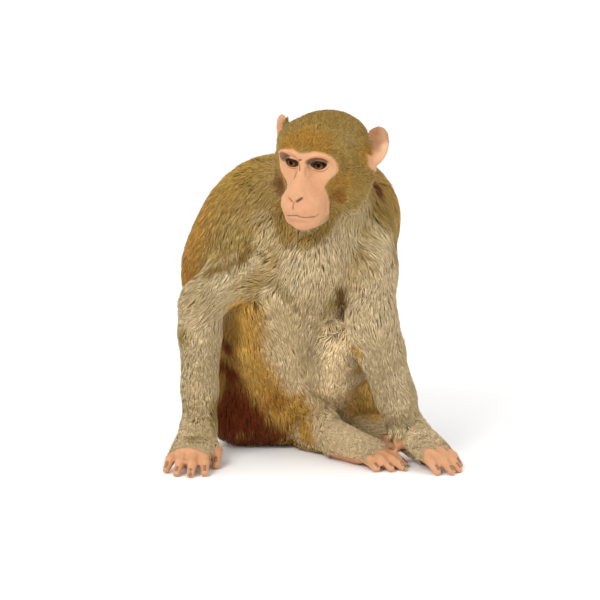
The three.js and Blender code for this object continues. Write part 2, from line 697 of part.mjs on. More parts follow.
function makeHands() {
  for (const side of ["right", "left"]) {
    const { elbow, wrist } = ARMS[side];
    const middle = wrist.clone().addScaledVector(HANDS[side].toward, 42).setZ(22);
    const field = blend(5, armField(side), handField(side));
    const hand = build(field, boxAround([middle, wrist], 44), 2, 610);
    parts.set("hand_" + side, largest(keepBeyond(hand, wrist, towards(elbow, wrist))));
  }
}

function makeLegs() {
  for (const side of ["right", "left"]) {
    const { hip, knee, ankle, toward } = LEGS[side];
    const field = legField(side);
    const down = towards(knee, ankle);
    const cutAt = lerp(knee, ankle, 0.88);
    const leg = build(field, boxAround([hip, knee, ankle], 56), 3.8, 600);
    const above = keepBeyond(leg, cutAt, down.clone().negate());
    const across = towards(knee, hip).sub(down).normalize();
    parts.set("thigh_" + side, largest(keepBeyond(above, knee, across)));
    parts.set("shin_" + side, largest(keepBeyond(above, knee, across.clone().negate())));
    const footMiddle = ankle.clone().addScaledVector(toward, 52).setZ(22);
    const foot = build(field, boxAround([footMiddle, ankle], 82), 2.2, 610);
    parts.set("foot_" + side, largest(keepBeyond(foot, cutAt, down)));
  }
}

function makeTorso() {
  const whole = build(withHead, boxOf([-170, -120, -8], [170, 200, 345]), 4.4, 2080);
  let solid = keepBeyond(whole, neckTop, neckUp.clone().negate());
  for (const side of ["right", "left"]) {
    const { shoulder, elbow, wrist, radii } = ARMS[side];
    const down = towards(elbow, wrist);
    const sideways = HANDS[side].toward.clone().projectOnPlane(down).setLength(45);
    const palm = wrist.clone().add(sideways);
    solid = largest(solid.subtract(bar(palm, palm.clone().addScaledVector(down, 90), 68, GAP)));
    const armpit = lerp(shoulder, elbow, 0.42);
    const pastElbow = elbow.clone().addScaledVector(towards(shoulder, elbow), 40);
    const fold = towards(shoulder, elbow).add(down).normalize();
    const aboveElbow = elbow.clone().addScaledVector(down, -40);
    const arm = largest(keepBeyond(solid, elbow, fold).intersect(bar(aboveElbow, wrist, 36)));
    solid = largest(solid.subtract(grown(arm)));
    parts.set("forearm_" + side, arm);
    const upper = largest(solid.intersect(bar(armpit, pastElbow, radii.upper + 14)));
    solid = largest(solid.subtract(grown(upper)));
    parts.set("upper_arm_" + side, upper);
  }
  parts.set("neck", largest(keepBeyond(solid, neckBase, neckUp)));
  parts.set("trunk", largest(keepBeyond(solid, neckBase, neckUp.clone().negate())));
}

function makeTail() {
  const tail = build(tailField, boxAround(TAIL, 30), 3.6, 320);
  const along = towards(TAIL[2], TAIL[4]);
  parts.set("tail_base", largest(keepBeyond(tail, TAIL[3], along.clone().negate())));
  parts.set("tail_tip", largest(keepBeyond(tail, TAIL[3], along)));
}

makeHead();
makeHands();
makeLegs();
makeTorso();
makeTail();

// Where two parts press together, the later one in this order gives way.
const ORDER = [
  "trunk", "neck", "head", "eye_right", "eye_left", "ear_right", "ear_left",
  "upper_arm_right", "upper_arm_left", "forearm_right", "forearm_left",
  "thigh_right", "thigh_left", "shin_right", "shin_left", "foot_right", "foot_left",
  "hand_right", "hand_left", "tail_base", "tail_tip",
];
const placed = [];
const pressed = (solid) => placed.filter((other) => solid.intersect(other.solid).volume() > 1e-4);

// Thinned as far as the solid still keeps clear of those already placed.
function settled(solid) {
  for (const limit of [0.12, 0.06, 0.03, 0.015]) {
    const rest = tidied(solid, limit);
    if (pressed(rest).length === 0) return rest;
  }
  return solid;
}

for (const name of ORDER) {
  let solid = parts.get(name);
  for (const other of pressed(solid)) solid = largest(solid.subtract(grown(other.solid)));
  placed.push({ name, solid: name.startsWith("eye") ? solid : settled(solid) });
}

// ---------------------------------------------------------------- the scene graph
const COLOURS = {
  golden: { color: 0x97793f, roughness: 0.9 },
  pale: { color: 0xbaa47c, roughness: 0.9 },
  skin: { color: 0xe8ae82, roughness: 0.6 },
  eye: { color: 0x7f5424, roughness: 0.15 },
};
const FINISH = (name) => {
  if (name.startsWith("eye")) return COLOURS.eye;
  if (/^(ear|hand|foot)/.test(name)) return COLOURS.skin;
  return /^(trunk|neck|head|thigh|tail)/.test(name) ? COLOURS.golden : COLOURS.pale;
};

const animal = new THREE.Group();
for (const { name, solid } of placed) {
  const finish = new THREE.MeshStandardMaterial({ ...FINISH(name), metalness: 0 });
  const mesh = new THREE.Mesh(geometryOf(solid), finish);
  mesh.name = name;
  animal.add(mesh);
}

// The origin is on the floor, under the middle of the animal's box.
const extent = new THREE.Box3().setFromObject(animal);
const middle = extent.getCenter(v(0, 0, 0));
animal.position.set(-middle.x, -middle.y, -extent.min.z);
const macaque = new THREE.Group();
macaque.add(animal);

export default macaque;
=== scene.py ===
import math

import bpy
import numpy as np
from mathutils import Matrix, Vector, bvhtree, kdtree


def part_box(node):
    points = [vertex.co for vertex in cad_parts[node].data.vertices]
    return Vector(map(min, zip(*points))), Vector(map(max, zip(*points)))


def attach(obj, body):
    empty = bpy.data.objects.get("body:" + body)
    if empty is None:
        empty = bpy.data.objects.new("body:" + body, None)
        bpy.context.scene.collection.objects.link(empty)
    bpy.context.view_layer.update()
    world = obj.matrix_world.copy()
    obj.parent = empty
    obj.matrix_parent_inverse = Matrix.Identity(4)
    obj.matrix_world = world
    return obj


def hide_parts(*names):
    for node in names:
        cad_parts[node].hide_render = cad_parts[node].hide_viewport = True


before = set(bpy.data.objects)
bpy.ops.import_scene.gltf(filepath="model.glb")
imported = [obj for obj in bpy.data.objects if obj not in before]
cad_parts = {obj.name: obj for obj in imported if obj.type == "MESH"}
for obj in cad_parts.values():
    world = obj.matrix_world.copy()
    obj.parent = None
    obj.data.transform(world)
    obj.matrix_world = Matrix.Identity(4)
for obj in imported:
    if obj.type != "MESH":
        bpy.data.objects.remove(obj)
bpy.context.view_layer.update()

# ---------------------------------------------------------------- the skeleton
# A macaque's bones aren't seen, but the coat follows them: each bone here gives the hair over it a direction,
# a length, a depth and a colour. Places are in millimetres, set in the frame by the middle of the two eyes.
MM = 1000  # millimetres in one metre of the frame
HEAD_YAW = -25
HEAD_PITCH = 5
HEAD_ROLL = 1
TRUNK_YAW = 30
EYE_FORWARD = 39.5
EYE_LEVEL = 10
HEAD_PLACE = np.array([26.0, -32.0, 350.0])
PELVIS_PLACE = np.array([-8.0, 106.0, 66.0])


def turned_axes(yaw, pitch=0, roll=0):
    """The forward, left and up directions of a body part that is turned by these angles, as rows."""
    turn = Matrix.Rotation(math.radians(yaw), 3, "Z")
    turn = turn @ Matrix.Rotation(math.radians(pitch), 3, "X") @ Matrix.Rotation(math.radians(roll), 3, "Y")
    return np.array([turn @ Vector(way) for way in ((0, -1, 0), (1, 0, 0), (0, 0, 1))])


def middle_of(node):
    low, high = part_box(node)
    return (np.array(low) + np.array(high)) / 2 * MM


HEAD_AXES = turned_axes(HEAD_YAW, HEAD_PITCH, HEAD_ROLL)
TRUNK_AXES = turned_axes(TRUNK_YAW)
between_eyes = (middle_of("eye_right") + middle_of("eye_left")) / 2
head_origin = between_eyes - EYE_FORWARD * HEAD_AXES[0] - EYE_LEVEL * HEAD_AXES[2]
shift = head_origin - HEAD_PLACE
shift[2] = 0


def place(x, y, z):
    return np.array([x, y, z], float) + shift


def in_head(forward, left, up):
    return head_origin + np.array([forward, left, up]) @ HEAD_AXES


def in_trunk(forward, left, up):
    return PELVIS_PLACE + shift + np.array([forward, left, up]) @ TRUNK_AXES


def unit(vectors):
    return vectors / np.maximum(np.linalg.norm(vectors, axis=-1, keepdims=True), 1e-9)


JOINTS = {
    "shoulder_right": place(-40, -26, 245), "shoulder_left": place(70, 8, 256),
    "elbow_right": place(-109, -14, 185), "elbow_left": place(79, -38, 166),
    "wrist_right": place(-111, 12, 38), "wrist_left": place(116, 8, 38),
    "hip_right": in_trunk(0, -45, 10), "hip_left": in_trunk(0, 45, 10),
    "knee_right": place(-42, -8, 182), "knee_left": place(42, -12, 143),
    "ankle_right": place(20, 44, 38), "ankle_left": place(38, 92, 36),
}
HAND_WAY = {"right": unit(np.array([-0.2, -0.98, 0])), "left": unit(np.array([0.66, -0.75, 0]))}
FOOT_WAY = {"right": unit(np.array([0.71, -0.7, 0])), "left": unit(np.array([0.95, -0.31, 0]))}
TAIL = [
    in_trunk(-52, 0, -28), in_trunk(-86, 6, -50), in_trunk(-118, 34, -56),
    in_trunk(-126, 78, -58), in_trunk(-110, 124, -59), in_trunk(-84, 160, -60),
]

# Coat colours, as seen in daylight: red, green and blue from 0 to 255.
GOLD = (163, 123, 57)
OLIVE = (158, 130, 76)
BEIGE = (190, 168, 132)
GREY_BEIGE = (180, 160, 124)
PALE = (202, 178, 140)
CROWN = (152, 122, 64)

# Each bone: from, to, reach of its flesh, coat depth, hair length, hair width, colour.
BONES = {
    "head": (in_head(12, 0, 0), in_head(-14, 0, 8), 50, 6.0, 10, 0.95, CROWN),
    "nape": (place(6, 24, 300), place(10, 40, 262), 58, 6.5, 16, 1.2, OLIVE),
    "throat": (place(24, -22, 300), place(16, -14, 262), 40, 8, 20, 1.4, GREY_BEIGE),
    "withers": (place(10, 44, 258), place(-34, 74, 200), 78, 9, 26, 1.5, GOLD),
    "loins": (place(-34, 74, 200), place(-26, 98, 110), 76, 9, 27, 1.5, GOLD),
    "rump": (place(-26, 98, 110), in_trunk(-24, 0, -24), 72, 8, 25, 1.5, GOLD),
    "chest": (place(16, -14, 250), place(6, 6, 190), 46, 8, 22, 1.4, BEIGE),
    "belly": (place(6, 6, 190), place(-2, 50, 110), 48, 8, 22, 1.4, BEIGE),
    "flank_left": (place(40, 60, 240), place(30, 94, 100), 56, 9, 25, 1.5, OLIVE),
    "shoulder_right": (place(-22, 10, 262), JOINTS["shoulder_right"], 48, 8, 22, 1.4, OLIVE),
    "shoulder_left": (place(44, 28, 266), JOINTS["shoulder_left"], 44, 8, 22, 1.4, OLIVE),
}
for side in ("right", "left"):
    shoulder, elbow, wrist = (JOINTS[joint + "_" + side] for joint in ("shoulder", "elbow", "wrist"))
    hip, knee, ankle = (JOINTS[joint + "_" + side] for joint in ("hip", "knee", "ankle"))
    BONES["upper_arm_" + side] = (shoulder, elbow, 30, 6.5, 19, 1.4, BEIGE)
    BONES["forearm_" + side] = (elbow, wrist, 21, 5, 16, 1.3, GREY_BEIGE)
    BONES["hand_" + side] = (wrist, wrist + 60 * HAND_WAY[side] - [0, 0, 20], 17, 2.2, 8, 1.0, BEIGE)
    BONES["thigh_" + side] = (hip, knee, 36, 7.5, 21, 1.4, GOLD if side == "right" else BEIGE)
    BONES["shin_" + side] = (knee, ankle, 25, 5.5, 16, 1.3, PALE)
    BONES["foot_" + side] = (ankle, ankle + 90 * FOOT_WAY[side] - [0, 0, 20], 18, 2.2, 8, 1.0, BEIGE)
for number in range(5):
    BONES[f"tail_{number}"] = (TAIL[number], TAIL[number + 1], 20 - 2.4 * number, 5, 15, 1.4, OLIVE)

BONE_NAMES = list(BONES)
BONE_FROM = np.array([bone[0] for bone in BONES.values()])
BONE_TO = np.array([bone[1] for bone in BONES.values()])
BONE_REACH = np.array([bone[2] for bone in BONES.values()], float)
BONE_COAT = np.array([bone[3:6] for bone in BONES.values()], float)
BONE_THICKNESS = 2
SHARE_POWER = 7  # the higher, the shorter the way over which one bone's coat turns into the next one's


def linear(colour):
    """A daylight colour, 0 to 255, as the amounts of light that a shader takes."""
    share = np.asarray(colour, float) / 255
    return np.where(share <= 0.04045, share / 12.92, ((share + 0.055) / 1.055) ** 2.4)


BONE_COLOUR = np.array([linear(bone[6]) for bone in BONES.values()])


def bone_shares(points):
    """How far each point belongs to each bone, by its distance from it. The shares of a point add up to 1."""
    shares = np.empty((len(points), len(BONES)))
    for number in range(len(BONES)):
        along = BONE_TO[number] - BONE_FROM[number]
        run = np.clip((points - BONE_FROM[number]) @ along / (along @ along), 0, 1)
        distance = np.linalg.norm(points - BONE_FROM[number] - run[:, None] * along, axis=1)
        shares[:, number] = (BONE_REACH[number] / np.maximum(distance, BONE_THICKNESS)) ** SHARE_POWER
    return shares / shares.sum(1, keepdims=True)


# ---------------------------------------------------------------- the skin
# One hide covers the whole animal: bare and peach on the face, ears, digits, palms and soles, and under the
# coat elsewhere. It is cast from the body's regions, joined without a seam and sunk by the coat's depth.
CLOSING = 0.5  # swells each region, so that the cuts between them close
WELDS = 200  # corners of a region in the same 200th of a millimetre are one point
SKIN_CELL = 0.00145
SKIN_TRIANGLES = 80_000  # before the face is cut finer
FLESH = [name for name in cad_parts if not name.startswith("eye")]


def arrays_of(mesh):
    """A mesh's points in millimetres, and its triangles."""
    mesh.calc_loop_triangles()
    points = np.empty(len(mesh.vertices) * 3, np.float32)
    faces = np.empty(len(mesh.loop_triangles) * 3, np.int32)
    mesh.vertices.foreach_get("co", points)
    mesh.loop_triangles.foreach_get("vertices", faces)
    return points.reshape(-1, 3).astype(float) * MM, faces.reshape(-1, 3)


def normals_of(points, faces):
    a, b, c = (points[faces[:, corner]] for corner in range(3))
    facing = np.cross(b - a, c - a)
    total = np.zeros_like(points)
    for corner in range(3):
        for axis in range(3):
            total[:, axis] += np.bincount(faces[:, corner], facing[:, axis], len(points))
    return unit(total)


def make_piece(name, points, faces):
    """A new object from points in millimetres and faces that all have the same number of corners."""
    mesh = bpy.data.meshes.new(name)
    corners = faces.shape[1]
    mesh.vertices.add(len(points))
    mesh.vertices.foreach_set("co", (np.asarray(points) / MM).astype(np.float32).ravel())
    mesh.loops.add(faces.size)
    mesh.loops.foreach_set("vertex_index", faces.astype(np.int32).ravel())
    mesh.polygons.add(len(faces))
    mesh.polygons.foreach_set("loop_start", np.arange(0, faces.size, corners, dtype=np.int32))
    mesh.polygons.foreach_set("use_smooth", np.ones(len(faces), bool))
    mesh.update(calc_edges=True)
    piece = bpy.data.objects.new(name, mesh)
    bpy.context.scene.collection.objects.link(piece)
    return piece


def finished_mesh(piece):
    """The mesh that a piece's modifiers make, as a plain mesh. The piece itself is removed."""
    evaluated = piece.evaluated_get(bpy.context.evaluated_depsgraph_get())
    mesh = bpy.data.meshes.new_from_object(evaluated)
    bpy.data.objects.remove(piece)
    return mesh


def neighbour_mean(faces, count):
    """Returns a function that averages values over each point's neighbours in these triangles."""
    ends = np.concatenate([faces[:, [0, 1]], faces[:, [1, 2]], faces[:, [2, 0]]]).astype(np.int64)
    keys = np.unique(np.concatenate([ends[:, 0] * count + ends[:, 1], ends[:, 1] * count + ends[:, 0]]))
    own, other = keys // count, keys % count
    starts = np.searchsorted(own, np.arange(count))
    sizes = np.bincount(own, minlength=count)
    return lambda values: (np.add.reduceat(values[other], starts, axis=0).T / sizes).T


DRAWN_IN = 0.5
LET_OUT = 0.52


def smoothed(points, mean, rounds):
    """Takes the facets off without shrinking: each round draws the points in, then lets them out again."""
    for _ in range(rounds):
        points = points + DRAWN_IN * (mean(points) - points)
        points = points - LET_OUT * (mean(points) - points)
    return points


def cast_body():
    """All regions of flesh, swollen until they touch, as one closed surface."""
    all_points, all_faces, count = [], [], 0
    for name in FLESH:
        points, faces = arrays_of(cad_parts[name].data)
        keys = np.round(points * WELDS)
        _, first, number = np.unique(keys, axis=0, return_index=True, return_inverse=True)
        points, faces = points[first], number.reshape(-1)[faces]
        all_points.append(points + CLOSING * normals_of(points, faces))
        all_faces.append(faces + count)
        count += len(points)
    body = make_piece("cast", np.concatenate(all_points), np.concatenate(all_faces))
    remesh = body.modifiers.new("joined", "REMESH")
    remesh.mode = "VOXEL"
    remesh.voxel_size = SKIN_CELL
    return arrays_of(finished_mesh(body))


# The bare mask of the face. At each height above the head's middle: how far its edge is from the middle on
# each side, and how far forward it starts. At each place to the left: how high it reaches on the forehead.
MASK_HEIGHTS = [-64, -60, -55, -48, -41, -33, -26, -20, -15, -11, -6, -2, 2, 6, 12, 17, 21, 24.5, 27]
MASK_LEFT = [0, 11, 19.5, 22.5, 26.8, 28.6, 28, 25, 23, 24, 27, 31.5, 34.6, 35.4, 35, 33.2, 30.6, 24.8, 12]
MASK_RIGHT = [0, 14, 19, 22, 23.6, 24.5, 24.4, 22.9, 22.5, 25, 29.5, 34.5, 37.6, 38.4, 38, 36.2, 32.6, 26, 13]
MASK_BACK_HEIGHTS = [-64, -56, -48, -33, -26, -20, -11, -6, -2, 2, 6, 12, 21]
MASK_BACK = [28, 34, 35.5, 39, 44, 46, 45, 42, 39, 35, 33, 36, 42]
BROW_PLACES = [-30, -24, -14, -4, 4, 14, 24, 30]
BROW_HEIGHTS = [22, 24.5, 25.5, 23.2, 24.4, 26.4, 24.6, 21.5]
MASK_START = 8  # the mask lies further forward than this
OUTSIDE_MASK = -20.0
PALM_REACH = 53  # the hand's back is haired this far from the wrist
SOLE_REACH = 94  # the foot's back is haired this far from the ankle
# Bare places on each thumb and on the inner toes: forward from the wrist or ankle, to the inner side, and up
# from the floor.
THUMB_SPOTS = {"right": [(27, 26, 14), (36, 28, 7)], "left": [(8, 20, 26), (11, 22, 19)]}
TOE_SPOTS = [(66, 20, 8), (74, 22, 7), (83, 24, 6), (108, 16, 7), (119, 16, 5)]
# The end of each limb: its joint, its way ahead, its way to the inner side, its bone's number, how far its
# back is haired, and its bare places.
LIMB_ENDS = []
for side, inwards in (("right", 1), ("left", -1)):
    for part, joint, way, reach, spots in (
        ("hand_", "wrist_", HAND_WAY[side], PALM_REACH, THUMB_SPOTS[side]),
        ("foot_", "ankle_", FOOT_WAY[side], SOLE_REACH, TOE_SPOTS),
    ):
        inner = np.array([-way[1], way[0], 0]) * inwards
        LIMB_ENDS.append((JOINTS[joint + side], way, inner, BONE_NAMES.index(part + side), reach, spots))
ROUND = 6.28  # a full turn of the waves below
WAVES = np.random.default_rng(5).normal(size=(2, 3, 3))
PHASES = np.random.default_rng(6).uniform(0, ROUND, size=(2, 3))


def soft_step(values, low, high):
    share = np.clip((values - low) / (high - low), 0, 1)
    return share * share * (3 - 2 * share)


def ripple(points, length):
    """A smooth uneven value for each point, from about -1 to 1, that changes over this many millimetres."""
    total = np.zeros(len(points))
    for size in range(2):
        for wave, phase in zip(WAVES[size], PHASES[size]):
            total += np.sin(points @ unit(wave) * ROUND * (size + 1) / length + phase) / (size + 1)
    return total / 3


def in_face(points):
    """How far each point is forward, left and up from the middle of the head."""
    return (points - head_origin) @ HEAD_AXES.T


def mask_depth(points):
    """How far inside the edge of the bare face each point is, in millimetres."""
    forward, left, up = in_face(points).T
    half = np.where(left > 0, np.interp(up, MASK_HEIGHTS, MASK_LEFT), np.interp(up, MASK_HEIGHTS, MASK_RIGHT))
    brow = np.interp(left, BROW_PLACES, BROW_HEIGHTS)
    depth = np.minimum(np.minimum(half - np.abs(left), brow - up), up - MASK_HEIGHTS[0])
    depth = np.minimum(depth, forward - np.interp(up, MASK_BACK_HEIGHTS, MASK_BACK))
    return np.where(forward > MASK_START, np.maximum(depth, OUTSIDE_MASK), OUTSIDE_MASK)


def surface_of(*names):
    """The joined surface of some regions, for finding the nearest spot on it."""
    spots, faces = [], []
    for name in names:
        points, triangles = arrays_of(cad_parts[name].data)
        faces += (triangles + len(spots)).tolist()
        spots += points.tolist()
    return bvhtree.BVHTree.FromPolygons(spots, faces)


EAR_SURFACES = [surface_of("ear_right"), surface_of("ear_left")]
SKULL_SURFACE = surface_of("head", "neck", "trunk")
EAR_LEVEL = 14
EAR_ROOM = [34, 90, 44]  # ears lie within this of their level, forward, to the side and up
SKULL_SIDE = 36  # ears lie further than this to the side
LOBE_PLACE = (-2, 3.5)  # forward and up
LOBE_HALF = (7, 9.5)
LOBE_SIDE = 40


def on_ear(points):
    """1 on the ears, 0 elsewhere."""
    share = np.zeros(len(points))
    forward, left, up = in_face(points).T
    near = (np.abs(in_face(points) - [0, 0, EAR_LEVEL]) < EAR_ROOM).all(1) & (np.abs(left) > SKULL_SIDE)
    for number in np.flatnonzero(near):
        ear = min(surface.find_nearest(points[number])[3] for surface in EAR_SURFACES)
        beyond = SKULL_SURFACE.find_nearest(points[number])[3] - ear
        lobe = np.clip(0.36 * (EAR_LEVEL - up[number]), -8, 7)  # the lower half grows out of the cheek
        share[number] = soft_step(beyond + lobe, -0.5, 1.5)
    lobes = np.hypot((forward - LOBE_PLACE[0]) / LOBE_HALF[0], (up - LOBE_PLACE[1]) / LOBE_HALF[1])
    lobes = lobes + 10 * (np.abs(left) < LOBE_SIDE)
    return np.maximum(share, soft_step(-lobes, -1.15, -0.85))


NEAR_MASK, NEAR_EARS, ON_DIGITS = 0.3, 0.45, 0.3  # the coat's share of its full height there


def hair_share(points, shares):
    """How much of its full height the coat reaches: least by the bare face, the ears and the digits."""
    off_mask = soft_step(-mask_depth(points), -1, 20)
    to_ear = np.minimum(*(np.linalg.norm(points - in_head(-2, side * 56, 12), axis=1) for side in (-1, 1)))
    off_ears = soft_step(to_ear, 22, 42)
    share = np.minimum(NEAR_MASK + (1 - NEAR_MASK) * off_mask, NEAR_EARS + (1 - NEAR_EARS) * off_ears)
    for joint, way, _, bone, reach, _ in LIMB_ENDS:
        on_digits = 1 - soft_step(reach - (points - joint) @ way, -5, 34)
        share = np.minimum(share, 1 - shares[:, bone] * on_digits * (1 - ON_DIGITS))
    return share


RAGGED = 3  # how unevenly the hair ends on hands and feet
PALM_START = 26  # palms and soles are bare from this far ahead of the wrist and the ankle
BARE_FROM = 0.4  # the least share of the hand's or foot's bone


def bareness(points, normals, shares):
    """1 where the skin shows, 0 under the coat."""
    bare = np.maximum(soft_step(mask_depth(points), -1.5, 1.5), on_ear(points))
    ragged = RAGGED * ripple(points, 15)
    for joint, way, inner, bone, reach, spots in LIMB_ENDS:
        out = (points - joint) @ way + ragged
        under = soft_step(-normals[:, 2], -0.3, 0.1) * soft_step(-points[:, 2], -17, -12) * (out > PALM_START)
        end = np.maximum(soft_step(out, reach - RAGGED, reach + RAGGED), under)
        bare = np.maximum(bare, (shares[:, bone] > BARE_FROM) * end)
        for along, aside, height in spots:
            spot = joint * [1, 1, 0] + way * along + inner * aside + [0, 0, height]
            bare = np.maximum(bare, soft_step(-np.linalg.norm(points - spot, axis=1), -12, -9.5))
    return bare


# Where the head is fuller than its bones: the hair of the right temple, before the ear.
TEMPLE = in_head(16, -46, 34)
TEMPLE_REACH = 21
TEMPLE_RISE = 5.0
CAST_ROUNDS = 14
BORDER_ROUNDS = 6  # these carry the bare skin's level a little way under the first hair
SINK_STEPS = 5

skin_points, skin_faces = cast_body()
skin_mean = neighbour_mean(skin_faces, len(skin_points))
skin_points = smoothed(skin_points, skin_mean, CAST_ROUNDS)

# The hide sinks in steps under the coat, and the surface is evened after each.
skin_shares = bone_shares(skin_points)
skin_normals = normals_of(skin_points, skin_faces)
haired = 1 - bareness(skin_points, skin_normals, skin_shares)
for _ in range(BORDER_ROUNDS):
    haired = np.minimum(haired, skin_mean(haired))
sink = haired * (skin_shares @ BONE_COAT[:, 0]) * hair_share(skin_points, skin_shares)
sink += (1 - haired) * CLOSING
off_temple = np.linalg.norm(skin_points - TEMPLE, axis=1) / TEMPLE_REACH
sink -= haired * TEMPLE_RISE * np.exp(-(off_temple**2))
for _ in range(SINK_STEPS):
    skin_normals = normals_of(skin_points, skin_faces)
    skin_points = skin_points - skin_normals * (sink / SINK_STEPS)[:, None]
    evened = skin_points + DRAWN_IN * (skin_mean(skin_points) - skin_points)
    skin_points += (evened - skin_points) * haired[:, None]

# The coat is laid over this full hide. The hide itself is then thinned to fewer triangles under the coat.
full_points, full_normals = skin_points, normals_of(skin_points, skin_faces)
hide = make_piece("hide", skin_points, skin_faces)
group = hide.vertex_groups.new(name="haired")
for weight in (0.0, 0.5, 1.0):
    members = np.flatnonzero(np.abs(haired - weight) <= 0.25)
    group.add(members.tolist(), weight, "REPLACE")
thinner = hide.modifiers.new("thinned", "DECIMATE")
thinner.ratio = min(1.0, SKIN_TRIANGLES / len(skin_faces))
thinner.vertex_group = "haired"
skin_points, skin_faces = arrays_of(finished_mesh(hide))


def split_finer(points, faces, chosen):
    """Divides the chosen triangles in four, and their neighbours so that no gap opens."""
    count = len(points)
    ends = np.sort(np.stack([faces, np.roll(faces, -1, axis=1)], axis=2), axis=2).astype(np.int64)
    keys = ends[:, :, 0] * count + ends[:, :, 1]
    cut = np.unique(keys[chosen])
    found = np.minimum(np.searchsorted(cut, keys), len(cut) - 1)
    halved = cut[found] == keys
    middle = np.where(halved, found + count, 0)
    points = np.concatenate([points, (points[cut // count] + points[cut % count]) / 2])
    kept = [faces[~halved.any(1)]]
    for turn in range(3):
        a, b, c = np.roll(faces, -turn, axis=1).T
        ab, bc, _ = np.roll(middle, -turn, axis=1).T
        first, second, third = np.roll(halved, -turn, axis=1).T
        one = first & ~second & ~third
        two = first & second & ~third
        kept += [np.column_stack(corners)[one] for corners in ((a, ab, c), (ab, b, c))]
        kept += [np.column_stack(corners)[two] for corners in ((ab, b, bc), (a, ab, bc), (a, bc, c))]
    every = halved.all(1)
    a, b, c = faces[every].T
    ab, bc, ca = middle[every].T
    kept += [np.column_stack(corners) for corners in ((a, ab, ca), (ab, b, bc), (ca, bc, c), (ab, bc, ca))]
    return points, np.concatenate(kept)


# The face is cut finer, so that it can hold its folds: once all over, and again at the nose, mouth and eyes.
FACE_MARGIN = 4
FACE_ROUNDS = 5
# Where the folds are: the middle to the left and up, and half the width and height.
FOLD_PLACES = [(0, 7, 8, 11), (0, -26, 9.5, 10), (4.5, -42.5, 20, 4.5)]
for fine in (False, True):
    centres = skin_points[skin_faces].mean(1)
    forward, left, up = in_face(centres).T
    chosen = mask_depth(centres) > -FACE_MARGIN
    if fine:
        folded = np.abs(np.hypot((np.abs(left) - 17) / 14, (up - 10.5) / 11) - 1) < 0.22  # round the lids
        for to_left, height, half_width, half_height in FOLD_PLACES:
            folded |= (np.abs(left - to_left) < half_width) & (np.abs(up - height) < half_height)
        chosen &= folded
    skin_points, skin_faces = split_finer(skin_points, skin_faces, chosen)
    skin_mean = neighbour_mean(skin_faces, len(skin_points))
    evened = smoothed(skin_points, skin_mean, FACE_ROUNDS)
    skin_points += (evened - skin_points) * soft_step(mask_depth(skin_points), -FACE_MARGIN, 1)[:, None]

# Soft forms of the face: place to the left and up, reach to the side and up, height. Each is on both sides.
BULGES = [
    (13, 21, 11, 4, 1.5),  # brow ridge
    (0, 19, 5, 5, 0.6),
    (25, -3, 8, 7, 1.0),  # cheekbone
    (20, -16, 5, 8, -0.8),
    (7.5, -18.5, 3.6, 3.0, 1.5),  # wing of the nose
    (0, -18, 4, 5, 0.7),  # tip of the nose
    (10, -33, 8, 5, 0.8),  # upper lip
    (0, -46, 13, 3, 0.9),  # lower lip
    (0, -51, 11, 2.5, -0.8),
    (0, -58, 11, 4.5, 0.8),  # chin
    (17, -53, 7, 6, 3.2),  # corners of the jaw
]
# Grooves of the face: their path to the left and up, half their width, their depth, and how dark painted
# shade makes them.
GROOVES = [
    # nostrils
    ([(-3.6, -24.5), (-5.4, -23.4), (-7.4, -22)], 0.85, 1.8, 0.6),
    ([(2.1, -24.3), (4.4, -22.9), (7.2, -20.7)], 1.3, 2.4, 0.8),
    # groove of the upper lip
    ([(-1.2, -26), (-2.2, -29.5), (-2.4, -33.5)], 0.9, 0.8, 0.45),
    # mouth
    ([(-12.5, -44), (-5, -42.4), (2, -41.2), (4, -42.8), (12, -43), (19, -42.8)], 0.75, 1.5, 0.5),
    ([(18.5, -42.6), (21.5, -41.2)], 0.7, 0.8, 0.35),
    # folds beside the bridge of the nose
    ([(-4.6, 15.5), (-4.4, 13), (-2.6, 10), (-1.2, 6.5)], 0.75, 0.8, 0.8),
    ([(-5.3, 3.9), (-5.8, 0.7), (-6.8, -2.3)], 0.8, 0.8, 0.8),
    ([(4.4, 9), (5.4, 4), (6.6, 0)], 0.8, 0.5, 0.1),
    ([(-5.7, 15.8), (-1.3, 16.8)], 0.8, 0.5, 0.85),
    # folds of the cheeks
    ([(-10, -2), (-16, -8), (-19, -15)], 2.2, 0.6, 0.0),
    ([(10, -2), (16, -8), (19, -15)], 2.2, 0.6, 0.0),
    ([(-13, -27), (-17, -31), (-19, -37)], 2.0, 0.5, 0.0),
    ([(13, -27), (17, -31), (19, -37)], 2.0, 0.5, 0.0),
]
MUZZLE_LEVEL = -20  # grooves below this are cut only into the muzzle's front


def groove_share(left, up, path, half_width):
    """1 in the middle of a groove, falling to 0 beside it."""
    nearest = np.full(len(left), np.inf)
    for (l0, u0), (l1, u1) in zip(path, path[1:]):
        dl, du = l1 - l0, u1 - u0
        run = np.clip(((left - l0) * dl + (up - u0) * du) / (dl * dl + du * du), 0, 1)
        nearest = np.minimum(nearest, np.hypot(left - l0 - run * dl, up - u0 - run * du))
    return np.exp(-((nearest / half_width) ** 2))


forward, left, up = in_face(skin_points).T
raised = np.zeros(len(skin_points))
skin_dark = np.zeros(len(skin_points))
for to_left, height, reach_left, reach_up, rise in BULGES:
    for way in {1, -1} if to_left else {1}:
        away = ((left - way * to_left) / reach_left) ** 2 + ((up - height) / reach_up) ** 2
        raised += rise * np.exp(-away)
# Each groove is cut in and darkened with painted shade.
for path, half_width, groove_depth, darkness in GROOVES:
    share = groove_share(left, up, path, half_width)
    if path[0][1] < MUZZLE_LEVEL:
        share = share * soft_step(forward, 56, 61)
    raised -= groove_depth * share
    skin_dark = np.maximum(skin_dark, darkness * share)
in_front = soft_step(forward, 20, 30) * soft_step(mask_depth(skin_points), -3, 1)
skin_dark *= in_front
skin_points += normals_of(skin_points, skin_faces) * (raised * in_front)[:, None]

